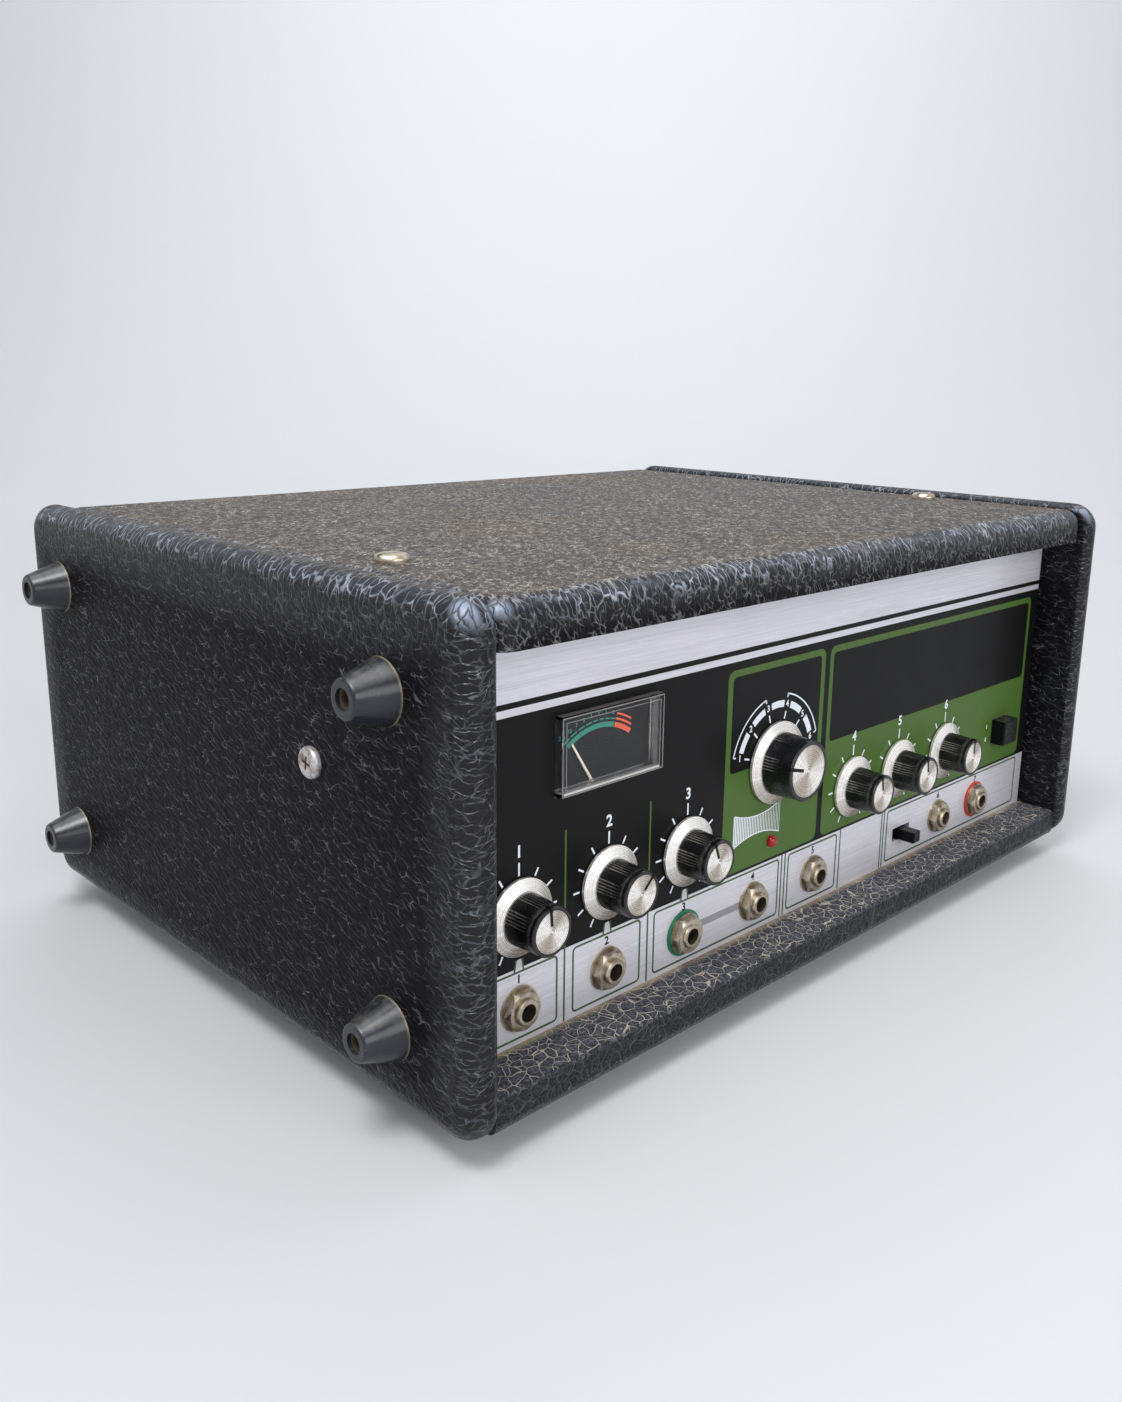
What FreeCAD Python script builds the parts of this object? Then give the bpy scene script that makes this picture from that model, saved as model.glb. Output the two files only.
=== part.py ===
import FreeCAD, Part
import math
import os
import Sketcher
from FreeCAD import Placement, Rotation, Vector

# Tape echo unit: a vinyl covered wooden case around a steel chassis with a tape transport.
# Frame: X to the right and Y to the rear, seen from the front; Z up; origin on the floor
# under the middle of the case. Millimetres and degrees.

doc = FreeCAD.newDocument("TapeEcho")
sheet = doc.addObject("Spreadsheet::Sheet", "Sizes")

DRIVING = [
    # case
    ("caseWidth", 412.0), ("caseDepth", 310.0), ("caseHeight", 175.0), ("sideThick", 13.0),
    ("bottomThick", 14.0), ("cornerRound", 12.0), ("edgeRound", 8.5), ("innerRound", 4.0),
    ("faceSetback", 3.3), ("shelfRound", 1.5), ("underRound", 4.5), ("screwShank", 2.0),
    ("screwSlack", 0.2), ("screwGrip", 8.0), ("pilotSpare", 0.5),
    # lid and its battens
    ("lidThick", 11.0), ("lidLipThick", 15.7), ("lidLipDepth", 16.0), ("lidDrop", 2.0),
    ("lidGap", 1.0), ("lidRound", 8.0), ("seatGap", 0.3), ("battenWide", 28.5),
    ("battenHigh", 12.0), ("battenFront", 37.0), ("lidScrewInset", 21.5), ("lidScrewBack", 82.0),
    ("lidScrewHead", 6.2), ("lidScrewRise", 3.0), ("lidScrewRound", 2.1), ("lidSlotWide", 1.2),
    ("lidSlotDeep", 1.0), ("shankShort", 1.5),
    # back board
    ("backThick", 9.0), ("backSetback", 10.0), ("ventCount", 14.0), ("ventWide", 5.0),
    ("ventHigh", 44.0), ("ventPitch", 12.0), ("ventBase", 92.0), ("ventAside", 60.0),
    ("fittingSlack", 0.2),
    # feet and side screws
    ("floorFootRise", 10.0), ("floorFootRadius", 9.0), ("floorFootTaper", 1.0),
    ("floorFootEdge", 1.0), ("floorFootInset", 42.0), ("floorFootRecess", 4.0),
    ("floorFootWeb", 3.0), ("floorScrewHead", 3.6), ("floorScrewRise", 2.0),
    ("sideFootRise", 14.0), ("sideFootBase", 11.2), ("sideFootTip", 6.4), ("sideFootRound", 1.2),
    ("sideFootBore", 3.6), ("sideFootFloor", 4.0), ("sideFootFront", 41.0), ("sideFootRear", 31.0),
    ("sideFootLow", 28.5), ("sideFootTop", 33.5), ("sleeveWall", 0.7), ("sleeveShort", 1.5),
    ("footScrewGap", 0.1), ("footScrewRise", 1.6), ("smallHeadEdge", 0.9), ("sideScrewBack", 81.4),
    ("sideScrewUp", 109.4), ("sideScrewHead", 5.6), ("sideScrewRise", 2.4), ("sideScrewRound", 1.5),
    # handle
    ("handleSpan", 150.0), ("handleWide", 24.0), ("handleThick", 5.0), ("handleBow", 9.0),
    ("handleUp", 86.0), ("handleCapLength", 30.0), ("handleCapShift", 2.0),
    ("handleCapRise", 10.0), ("handleCapWide", 30.0), ("handleCapRound", 2.5),
    # front panel; places are from the nearer end of the case, or from its middle
    ("panelRecess", 23.5), ("panelThick", 2.0), ("panelSide", 0.5), ("panelTop", 158.5),
    ("panelLift", 0.05), ("knobRow", 61.1), ("volumeFirst", 40.3), ("volumePitch", 42.2),
    ("echoFirst", 177.2), ("echoSecond", 140.2), ("echoThird", 99.2), ("modeAside", 28.0),
    ("modeUp", 84.6), ("jackRow", 27.6), ("jackFirst", 40.4), ("jackPitch", 42.0),
    ("jackFourth", 39.2), ("jackFifth", 2.4), ("jackSixth", 99.6), ("jackSeventh", 63.6),
    ("plateSlack", 0.2), ("wallSlack", 0.5),
    # lamp, key and slide switch
    ("ledAside", 28.2), ("ledUp", 50.6), ("ledRadius", 2.5), ("ledRise", 2.6), ("ledRound", 2.2),
    ("ledStem", 4.0), ("ledFlange", 0.9), ("ledFlangeThick", 1.0), ("powerInward", 43.4),
    ("powerUp", 60.5), ("powerWide", 13.8), ("powerHigh", 12.4), ("powerRise", 7.2),
    ("powerRound", 1.0), ("powerTravel", 3.0), ("powerStem", 6.0), ("powerSpare", 0.6),
    ("powerSlack", 0.35), ("powerBodyWall", 3.0), ("powerBodyRim", 2.7), ("powerBodyRear", 14.0),
    ("slideInward", 132.1), ("slideUp", 27.5), ("slideWide", 5.4), ("slideHigh", 5.2),
    ("slideRise", 9.0), ("slideRound", 0.7), ("slideTravel", 4.0), ("slideEndSlack", 0.6),
    ("slideSideSlack", 0.7), ("slideStem", 4.0), ("slideRoom", 4.5), ("slideBodyDeep", 12.0),
    ("slideBodyWall", 5.0), ("slideBodyRim", 2.0),
    # meter
    ("meterLeft", 56.3), ("meterWide", 50.3), ("meterBase", 98.6), ("meterHigh", 28.2),
    ("meterRise", 3.2), ("meterDialDepth", 5.0), ("meterBack", 24.0), ("meterWall", 1.2),
    ("coverRound", 0.8), ("dialGap", 1.6), ("pivotDrop", 6.0), ("movementDrop", 7.0),
    ("needleLength", 25.5), ("needleTail", 4.0), ("needleTip", 0.7), ("needleRoot", 1.2),
    ("needleThick", 0.4), ("needleLift", 0.6), ("arborRadius", 1.8), ("arborSlack", 0.06),
    ("arborLength", 6.0), ("arborRoom", 7.0),
    # knobs and rotary controls
    ("skirtRadius", 13.6), ("skirtEdge", 1.1), ("skirtRise", 2.8), ("skirtGap", 0.7),
    ("skirtCollar", 0.6), ("nutRoom", 1.6), ("nutRoomGap", 1.6), ("gripRadius", 9.2),
    ("gripTip", 8.7), ("knobRise", 16.6), ("rimLength", 2.0), ("rimBevel", 0.4),
    ("capRadius", 7.3), ("capThick", 0.8), ("capSink", 0.1), ("crownThick", 4.0),
    ("hubWall", 3.0), ("bigSkirtRadius", 17.1), ("bigGripRadius", 13.0), ("bigGripTip", 12.4),
    ("bigCapRadius", 10.6), ("fluteDeep", 0.55), ("fluteFloor", 0.15), ("fluteMouth", 0.9),
    ("fluteReach", 1.0), ("fluteTurn", 7.2), ("bigFluteTurn", 5.6), ("shaftRadius", 3.0), ("shaftSlack", 0.05), ("shaftShort", 2.0),
    ("bushRadius", 4.4), ("bushRise", 2.0), ("potRadius", 11.5), ("potDepth", 10.0),
    ("potFloor", 0.5), ("modeSwitchRadius", 15.5), ("modeSwitchDepth", 24.0),
    ("nutAcross", 11.0), ("nutThick", 1.6), ("nutSlack", 0.05),
    # jacks
    ("plugBore", 3.2), ("noseRadius", 4.7), ("noseRise", 5.2), ("noseEdge", 0.5),
    ("jackNutAcross", 13.4), ("jackNutThick", 2.9), ("jackNutCrown", 2.0), ("washerRadius", 8.2),
    ("washerThick", 0.8), ("ringRadius", 9.2), ("ringThick", 0.7), ("jackBodyWide", 15.0),
    ("jackBodyHigh", 17.0), ("jackBodyDeep", 24.0), ("jackBoreFloor", 2.0),
    # chassis and deck
    ("sheetThick", 1.5), ("chassisSide", 1.0), ("chassisRear", 48.0), ("deckUp", 130.0),
    ("deckThick", 2.0), ("deckFront", 33.0), ("flangeWide", 9.0), ("windowSide", 20.0),
    ("windowLow", 6.0), ("windowTop", 12.0), ("postRadius", 3.0), ("postInset", 6.0),
    # circuit board
    ("boardUp", 9.0), ("boardThick", 1.6), ("boardLeft", 6.0), ("boardFront", 56.0),
    ("boardRear", 26.0), ("boardClear", 10.0), ("canRadius", 8.0), ("canHigh", 30.0),
    ("canShrink", 1.0), ("canLower", 4.0), ("chipWide", 8.0), ("chipLong", 20.0),
    ("chipHigh", 5.0), ("coilCanRadius", 3.0), ("coilCanHigh", 11.0),
    # transformer, inlet and fuse
    ("coreWide", 64.0), ("coreDeep", 42.0), ("coreHigh", 54.0), ("coreRight", 20.0),
    ("coreRear", 18.0), ("coilWide", 40.0), ("coilProud", 9.0), ("coilInset", 9.0),
    ("coilRound", 4.0), ("coreFootProud", 9.0), ("coreFootDeep", 16.0), ("coreFootThick", 2.0),
    ("inletInward", 86.0), ("inletUp", 40.0), ("inletWide", 28.0), ("inletHigh", 20.0),
    ("inletDeep", 18.0), ("inletWall", 2.0), ("inletFloor", 4.0), ("inletEar", 5.0),
    ("inletRim", 2.0), ("inletFlange", 2.5), ("pinThick", 2.0), ("pinHigh", 4.0),
    ("pinPitch", 8.0), ("pinShort", 2.0), ("fuseInward", 122.0), ("fuseRadius", 7.0),
    ("fuseRim", 2.5), ("fuseRimThick", 2.0), ("fuseCapStep", 1.5), ("fuseCapLength", 5.0),
    # tape transport
    ("tapeWide", 6.35), ("tapeThick", 0.2), ("tapeLine", 81.0), ("nipGap", 0.3),
    ("capstanInward", 114.0), ("capstanRadius", 4.0), ("capstanRise", 3.0),
    ("bearingRadius", 9.0), ("bearingLip", 1.2), ("bearingNeck", 6.8), ("bearingGap", 0.4),
    ("bearingHole", 0.2), ("bearingSlack", 0.05), ("bearingDrop", 26.0), ("flyRadius", 34.0),
    ("flyThick", 8.0), ("flyRim", 6.0), ("flyDish", 2.5), ("flyHub", 9.0), ("flyEdge", 0.5),
    ("flyBelow", 4.0), ("rollerRadius", 11.0), ("rollerEdge", 0.6), ("rollerLift", 0.4),
    ("rollerRise", 2.0), ("pinRadius", 2.5), ("pinSlack", 0.06), ("pinBelow", 0.4),
    ("armThick", 2.0), ("armLift", 0.4), ("armAside", 34.0), ("armBehind", 12.0),
    ("armHalf", 5.0), ("armHub", 6.0), ("pivotRadius", 3.0), ("pivotAbove", 5.4),
    ("pivotStep", 5.0), ("pivotStepHigh", 2.6), ("hubClear", 0.3),
    # motor and belt
    ("motorAside", 74.0), ("motorBack", 118.0), ("motorRadius", 22.0), ("motorHigh", 50.0),
    ("motorRound", 2.0), ("motorFootProud", 5.0), ("motorFootHalf", 9.0), ("motorFootThick", 2.0),
    ("motorCollar", 5.0), ("motorCollarHigh", 3.0), ("motorShaft", 2.0), ("motorFloor", 4.0),
    ("motorShaftLift", 6.0), ("pulleyRadius", 8.0), ("beltThick", 0.9), ("beltWide", 4.0),
    # heads and guides
    ("headCount", 5.0), ("headWide", 13.0), ("headDeep", 13.0), ("headHigh", 10.0),
    ("headStart", 22.0), ("headEnd", 66.0), ("headGap", 0.05), ("headNose", 2.0),
    ("headCrown", 0.5), ("headBaseSide", 12.0), ("headBaseFront", 5.0), ("headBaseThick", 1.0),
    ("guideRadius", 3.0), ("guideInward", 56.0), ("guideAfter", 22.0), ("guideFlange", 1.5),
    ("guideUnder", 0.2), ("guideOver", 0.3), ("guideCap", 1.6), ("guideGap", 0.1),
    # tape tray and the folds in it
    ("trayLeft", 46.0), ("trayAside", 22.0), ("trayFront", 98.0), ("trayRear", 6.0),
    ("trayWall", 1.6), ("trayHigh", 13.0), ("trayRound", 6.0), ("coverThick", 2.0),
    ("gateAcross", 12.0), ("gateBack", 135.0), ("gateHalf", 9.0), ("foldCount", 8.0),
    ("foldInset", 14.0), ("foldAside", 16.0), ("foldGap", 0.4),
]

class Size:
    """A length with its present value and the spreadsheet formula that gives it."""

    def __init__(self, value, text):
        self.value = float(value)
        self.text = text

    def __add__(self, other):
        other = as_size(other)
        return Size(self.value + other.value, f"({self.text} + {other.text})")

    def __sub__(self, other):
        other = as_size(other)
        return Size(self.value - other.value, f"({self.text} - {other.text})")

    def __mul__(self, other):
        other = as_size(other)
        return Size(self.value * other.value, f"({self.text} * {other.text})")

    def __truediv__(self, other):
        other = as_size(other)
        return Size(self.value / other.value, f"({self.text} / {other.text})")

    def __radd__(self, other):
        return as_size(other) + self

    def __rsub__(self, other):
        return as_size(other) - self

    def __rmul__(self, other):
        return as_size(other) * self

    def __neg__(self):
        return Size(-self.value, f"(-1 * {self.text})")


def as_size(number):
    if isinstance(number, Size):
        return number
    return Size(number, f"{number:.6g}" if number >= 0 else f"(0 - {-number:.6g})")


class Sizes:
    """Every driving size by name."""


d = Sizes()
for row, (alias, number) in enumerate(DRIVING, start=1):
    sheet.set(f"A{row}", alias)
    sheet.set(f"B{row}", str(number))
    sheet.setAlias(f"B{row}", alias)
    setattr(d, alias, Size(number, f"Sizes.{alias}"))
doc.recompute()

# ---------------------------------------------------------------- derived places
innerX = d.caseWidth / 2 - d.sideThick
frontY = -(d.caseDepth / 2)
rearY = d.caseDepth / 2
leftX = -(d.caseWidth / 2)
rightX = d.caseWidth / 2
baseZ = d.floorFootRise
topZ = baseZ + d.caseHeight
floorZ = baseZ + d.bottomThick
panelY = frontY + d.panelRecess
panelBackY = panelY + d.panelThick
wallY = panelBackY + d.sheetThick
lidTopZ = topZ - d.lidDrop
lidUnderZ = lidTopZ - d.lidThick
battenTopZ = lidUnderZ - d.seatGap
deckZ = baseZ + d.deckUp
deckTopZ = deckZ + d.deckThick
chassisX = innerX - d.chassisSide
chassisRearY = rearY - d.chassisRear
backFaceY = rearY - d.backSetback
shankHole = d.screwShank + d.screwSlack


def across(size):
    """A place along X, given from the left face of the case."""
    return leftX + size


def inward(size):
    """A place along X, given from the right face of the case."""
    return rightX - size


def back(size):
    """A place along Y, given from the front of the case."""
    return frontY + size


def up(size):
    """A height, given from the underside of the case."""
    return baseZ + size


# ---------------------------------------------------------------- making solids
AXES = {
    "x": Rotation(Vector(0, 1, 0), 90),
    "-x": Rotation(Vector(0, 1, 0), -90),
    "y": Rotation(Vector(1, 0, 0), -90),
    "-y": Rotation(Vector(1, 0, 0), 90),
    "z": Rotation(),
    "-z": Rotation(Vector(1, 0, 0), 180),
}


def bind(obj, **formulas):
    for name, size in formulas.items():
        size = as_size(size)
        setattr(obj, name, size.value)
        if "Sizes." in size.text:
            obj.setExpression(name, size.text)
    return obj


def put(obj, x=0, y=0, z=0, turn=None):
    sizes = [as_size(value) for value in (x, y, z)]
    obj.Placement = Placement(Vector(*[size.value for size in sizes]), turn or Rotation())
    for axis, size in zip("xyz", sizes):
        if "Sizes." in size.text:
            obj.setExpression(f"Placement.Base.{axis}", size.text)
    return obj


def box(low, size, name="Block"):
    obj = doc.addObject("Part::Box", name)
    bind(obj, Length=size[0], Width=size[1], Height=size[2])
    return put(obj, *low)


def span(x0, x1, y0, y1, z0, z1, name="Block"):
    low = [as_size(value) for value in (x0, y0, z0)]
    high = [as_size(value) for value in (x1, y1, z1)]
    return box(low, [b - a for a, b in zip(low, high)], name)


def rod(at, radius, length, axis="z", name="Rod"):
    obj = doc.addObject("Part::Cylinder", name)
    bind(obj, Radius=radius, Height=length)
    return put(obj, *at, turn=AXES[axis])


def cone(at, radius1, radius2, length, axis="z", name="Taper"):
    obj = doc.addObject("Part::Cone", name)
    bind(obj, Radius1=radius1, Radius2=radius2, Height=length)
    return put(obj, *at, turn=AXES[axis])


def hexagon(at, flats, length, axis="z", name="Hexagon"):
    obj = doc.addObject("Part::Prism", name)
    obj.Polygon = 6
    bind(obj, Circumradius=flats / math.sqrt(3), Height=length)
    return put(obj, *at, turn=AXES[axis])


def fuse(*objects, name="Joined"):
    if len(objects) == 1:
        return objects[0]
    obj = doc.addObject("Part::MultiFuse", name)
    obj.Shapes = list(objects)
    obj.Refine = True
    return obj


def cut(base, *tools, name="Trimmed"):
    obj = doc.addObject("Part::Cut", name)
    obj.Base = base
    obj.Tool = fuse(*tools)
    obj.Refine = True
    return obj


def common(first, second, name="Shared"):
    obj = doc.addObject("Part::Common", name)
    obj.Base = first
    obj.Tool = second
    return obj


def group(*objects, name="Set"):
    obj = doc.addObject("Part::Compound", name)
    obj.Links = list(objects)
    return obj


def soften(base, radius, wanted, chamfer=False, name="Softened"):
    """Round or chamfer the edges of base for which wanted(edge) is true."""
    doc.recompute()
    size = as_size(radius).value
    obj = doc.addObject("Part::Chamfer" if chamfer else "Part::Fillet", name)
    obj.Base = base
    obj.Edges = [(n, size, size) for n, edge in enumerate(base.Shape.Edges, start=1) if wanted(edge)]
    return obj


def is_round_at(axis, place, radius=None):
    """A test for circular edges that lie across an axis at a given place on it."""
    def test(edge):
        if not isinstance(edge.Curve, Part.Circle):
            return False
        if radius is not None and abs(edge.Curve.Radius - as_size(radius).value) > 0.01:
            return False
        return abs(edge.Curve.Center["xyz".index(axis)] - as_size(place).value) < 0.01
    return test


def runs_along(edge, axis):
    if not isinstance(edge.Curve, Part.Line):
        return False
    return abs(abs(edge.Curve.Direction["xyz".index(axis)]) - 1) < 1e-6


def lies_at(edge, axis, place):
    place = as_size(place).value
    return all(abs(getattr(vertex, axis.upper()) - place) < 0.01 for vertex in edge.Vertexes)


parts = {}


def keep(label, obj):
    obj.Label = label
    parts[label] = obj
    return obj


# ---------------------------------------------------------------- part design helpers
def origin_plane(body, role):
    return next(item for item in body.Origin.OriginFeatures if item.Role == role)


def new_sketch(body, role, shift=(0, 0, 0)):
    """A sketch on an origin plane; its own x, y and normal are shifted by the three sizes."""
    sketch = body.newObject("Sketcher::SketchObject", "Sketch")
    sketch.AttachmentSupport = [(origin_plane(body, role), "")]
    sketch.MapMode = "FlatFace"
    sizes = [as_size(value) for value in shift]
    sketch.AttachmentOffset = Placement(Vector(*[size.value for size in sizes]), Rotation())
    for axis, size in zip("xyz", sizes):
        if "Sizes." in size.text:
            sketch.setExpression(f"AttachmentOffset.Base.{axis}", size.text)
    return sketch


def fix(sketch, kind, geo, pos, size):
    """Hold one coordinate of a sketch point at a size, on either side of the sketch origin."""
    size = as_size(size)
    if abs(size.value) < 1e-9 and "Sizes." not in size.text:
        axis = -2 if kind == "DistanceX" else -1
        sketch.addConstraint(Sketcher.Constraint("PointOnObject", geo, pos, axis))
        return
    if size.value >= 0:
        number = sketch.addConstraint(Sketcher.Constraint(kind, -1, 1, geo, pos, size.value))
        text = size.text
    else:
        number = sketch.addConstraint(Sketcher.Constraint(kind, geo, pos, -1, 1, -size.value))
        text = (-size).text
    if "Sizes." in text:
        sketch.setExpression(f"Constraints[{number}]", text)


def add_polygon(sketch, points):
    points = [(as_size(x), as_size(y)) for x, y in points]
    vectors = [Vector(x.value, y.value, 0) for x, y in points]
    first = sketch.GeometryCount
    for n, start in enumerate(vectors):
        sketch.addGeometry(Part.LineSegment(start, vectors[(n + 1) % len(vectors)]), False)
    for n in range(len(points)):
        after = first + (n + 1) % len(points)
        sketch.addConstraint(Sketcher.Constraint("Coincident", first + n, 2, after, 1))
    for n, (x, y) in enumerate(points):
        fix(sketch, "DistanceX", first + n, 1, x)
        fix(sketch, "DistanceY", first + n, 1, y)


def add_rectangle(sketch, x0, y0, x1, y1):
    add_polygon(sketch, [(x0, y0), (x1, y0), (x1, y1), (x0, y1)])


def add_circle(sketch, x, y, radius):
    x, y, radius = as_size(x), as_size(y), as_size(radius)
    place = Vector(x.value, y.value, 0)
    geo = sketch.addGeometry(Part.Circle(place, Vector(0, 0, 1), radius.value), False)
    fix(sketch, "DistanceX", geo, 3, x)
    fix(sketch, "DistanceY", geo, 3, y)
    number = sketch.addConstraint(Sketcher.Constraint("Radius", geo, radius.value))
    if "Sizes." in radius.text:
        sketch.setExpression(f"Constraints[{number}]", radius.text)


def pad(body, sketch, length, midplane=False, reverse=False):
    feature = body.newObject("PartDesign::Pad", "Pad")
    feature.Profile = sketch
    feature.Midplane = midplane
    feature.Reversed = reverse
    bind(feature, Length=length)
    return feature


def pocket(body, sketch, length=None, reverse=False, midplane=False):
    feature = body.newObject("PartDesign::Pocket", "Pocket")
    feature.Profile = sketch
    feature.Reversed = reverse
    feature.Midplane = midplane
    if length is None:
        feature.Type = 1
    else:
        bind(feature, Length=length)
    return feature


def revolve(body, sketch, axis=("V_Axis",)):
    feature = body.newObject("PartDesign::Revolution", "Revolution")
    feature.Profile = sketch
    feature.ReferenceAxis = (sketch, list(axis))
    feature.Angle = 360
    return feature


def edge_feature(body, kind, size, wanted):
    """A PartDesign Fillet or Chamfer on the edges of the tip that a test picks."""
    doc.recompute()
    tip = body.Tip
    names = [f"Edge{n}" for n, edge in enumerate(tip.Shape.Edges, start=1) if wanted(edge)]
    feature = body.newObject(f"PartDesign::{kind}", kind)
    feature.Base = (tip, names)
    bind(feature, **{"Radius" if kind == "Fillet" else "Size": size})
    return feature


# ---------------------------------------------------------------- case
def foot_places():
    for y in (back(d.sideFootFront), rearY - d.sideFootRear):
        for z in (up(d.sideFootLow), topZ - d.sideFootTop):
            yield y, z


def floor_places():
    for x in (-1, 1):
        for y in (-1, 1):
            yield x * (rightX - d.floorFootInset), y * (rearY - d.floorFootInset)


def side_panel(label, side):
    """A plywood side, its outer rim rounded over for the vinyl; side is -1 left, 1 right."""
    body = doc.addObject("PartDesign::Body", "SideBody")
    outline = new_sketch(body, "YZ_Plane", (0, 0, side * innerX))
    add_rectangle(outline, frontY, baseZ, rearY, topZ)
    pad(body, outline, d.sideThick, reverse=side < 0)
    edge_feature(body, "Fillet", d.cornerRound, lambda edge: runs_along(edge, "x"))
    edge_feature(body, "Fillet", d.edgeRound, lambda edge: lies_at(edge, "x", side * rightX))
    edge_feature(body, "Fillet", d.innerRound, lambda edge: lies_at(edge, "x", side * innerX))
    holes = new_sketch(body, "YZ_Plane", (0, 0, side * rightX))
    add_circle(holes, back(d.sideScrewBack), up(d.sideScrewUp), shankHole)
    pocket(body, holes, midplane=True)
    if side < 0:
        blind = new_sketch(body, "YZ_Plane", (0, 0, leftX))
        for y, z in foot_places():
            add_circle(blind, y, z, shankHole)
        pocket(body, blind, (d.screwGrip + d.pilotSpare) * 2, midplane=True)
    return keep(label, body)


def bottom_panel():
    """The floor board; its front is the vinyl covered shelf below the panel."""
    body = doc.addObject("PartDesign::Body", "BottomBody")
    profile = new_sketch(body, "YZ_Plane")
    add_rectangle(profile, frontY + d.faceSetback, baseZ, rearY - d.faceSetback, floorZ)
    pad(body, profile, innerX * 2, midplane=True)

    def shelf_edge(edge):
        return runs_along(edge, "x") and edge.BoundBox.YMax < 0 and lies_at(edge, "z", floorZ)

    def lower_edge(edge):
        return runs_along(edge, "x") and lies_at(edge, "z", baseZ)
    edge_feature(body, "Fillet", d.shelfRound, shelf_edge)
    edge_feature(body, "Fillet", d.underRound, lower_edge)
    holes = new_sketch(body, "XY_Plane", (0, 0, baseZ))
    for x, y in floor_places():
        add_circle(holes, x, y, shankHole)
    pocket(body, holes, (d.screwGrip + d.pilotSpare) * 2, midplane=True)
    return keep("bottom_panel", body)


lidScrewPlaces = [(side * (innerX - d.lidScrewInset), back(d.lidScrewBack)) for side in (-1, 1)]


def top_lid():
    """A board with a deeper lip along its front edge; it lies on the battens."""
    body = doc.addObject("PartDesign::Body", "LidBody")
    profile = new_sketch(body, "YZ_Plane")
    lidFront = frontY + d.faceSetback
    lidRear = rearY - d.faceSetback
    lipRear = lidFront + d.lidLipDepth
    lipZ = lidTopZ - d.lidLipThick
    add_polygon(profile, [(lidFront, lipZ), (lipRear, lipZ), (lipRear, lidUnderZ),
                          (lidRear, lidUnderZ), (lidRear, lidTopZ), (lidFront, lidTopZ)])
    pad(body, profile, (innerX - d.lidGap) * 2, midplane=True)

    def soft_rim(edge):
        return lies_at(edge, "z", lidTopZ) or (runs_along(edge, "z")
                                               and lies_at(edge, "y", lidFront))
    edge_feature(body, "Fillet", d.lidRound, soft_rim)
    holes = new_sketch(body, "XY_Plane", (0, 0, lidTopZ))
    for x, y in lidScrewPlaces:
        add_circle(holes, x, y, shankHole)
    pocket(body, holes, midplane=True)
    return keep("top_lid", body)


def lid_battens():
    """Two wooden strips inside the sides, which carry the lid and take its screws."""
    strips = []
    low = battenTopZ - d.battenHigh
    for side, (screwX, screwY) in zip((-1, 1), lidScrewPlaces):
        start = -innerX if side < 0 else innerX - d.battenWide
        strip = span(start, start + d.battenWide, back(d.battenFront), backFaceY - d.backThick,
                     low, battenTopZ)
        strips.append(cut(strip, rod((screwX, screwY, low), shankHole, d.battenHigh)))
    return keep("lid_battens", group(*strips))


def lid_screws():
    """Two broad domed screws with a straight slot; each shank ends inside its batten."""
    screws = []
    rim = lidTopZ + d.lidScrewRise
    tip = battenTopZ - d.battenHigh + d.shankShort
    for x, y in lidScrewPlaces:
        head = rod((x, y, lidTopZ), d.lidScrewHead, d.lidScrewRise)
        domed = soften(head, d.lidScrewRound, is_round_at("z", rim))
        shank = rod((x, y, tip), d.screwShank, lidTopZ - tip)
        slot = span(x - d.lidScrewHead, x + d.lidScrewHead, y - d.lidSlotWide / 2,
                    y + d.lidSlotWide / 2, rim - d.lidSlotDeep, rim)
        screws.append(cut(fuse(domed, shank), slot))
    return keep("lid_screws", group(*screws))


def back_panel():
    """The rear board, with a row of upright vent slots and the openings for the fittings."""
    body = doc.addObject("PartDesign::Body", "BackBody")
    plane = -(backFaceY - d.backThick)
    outline = new_sketch(body, "XZ_Plane", (0, 0, plane))
    add_rectangle(outline, -innerX, floorZ, innerX, battenTopZ)
    pad(body, outline, d.backThick, reverse=True)
    openings = new_sketch(body, "XZ_Plane", (0, 0, plane))
    count = int(d.ventCount.value)
    for n in range(count):
        x = (n - (count - 1) / 2) * d.ventPitch - d.ventAside
        add_rectangle(openings, x - d.ventWide / 2, up(d.ventBase), x + d.ventWide / 2,
                      up(d.ventBase) + d.ventHigh)
    x, z = inward(d.inletInward), up(d.inletUp)
    halfWide, halfHigh = d.inletWide / 2 + d.fittingSlack, d.inletHigh / 2 + d.fittingSlack
    add_rectangle(openings, x - halfWide, z - halfHigh, x + halfWide, z + halfHigh)
    add_circle(openings, inward(d.fuseInward), z, d.fuseRadius + d.fittingSlack)
    pocket(body, openings, midplane=True)
    return keep("back_panel", body)


side_panel("left_side_panel", -1)
side_panel("right_side_panel", 1)
bottom_panel()
top_lid()
lid_battens()
lid_screws()
back_panel()


# ---------------------------------------------------------------- feet, screws and handle
def side_feet():
    """Tapered rubber feet on the left side, each with a deep bore for its screw."""
    feet = []
    for y, z in foot_places():
        taper = cone((leftX, y, z), d.sideFootBase, d.sideFootTip, d.sideFootRise, "-x")
        tip = soften(taper, d.sideFootRound, is_round_at("x", leftX - d.sideFootRise))
        bore = rod((leftX - d.sideFootFloor, y, z), d.sideFootBore,
                   d.sideFootRise - d.sideFootFloor, "-x")
        hole = rod((leftX, y, z), shankHole, d.sideFootFloor, "-x")
        feet.append(cut(tip, bore, hole))
    return keep("side_feet", group(*feet))


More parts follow.
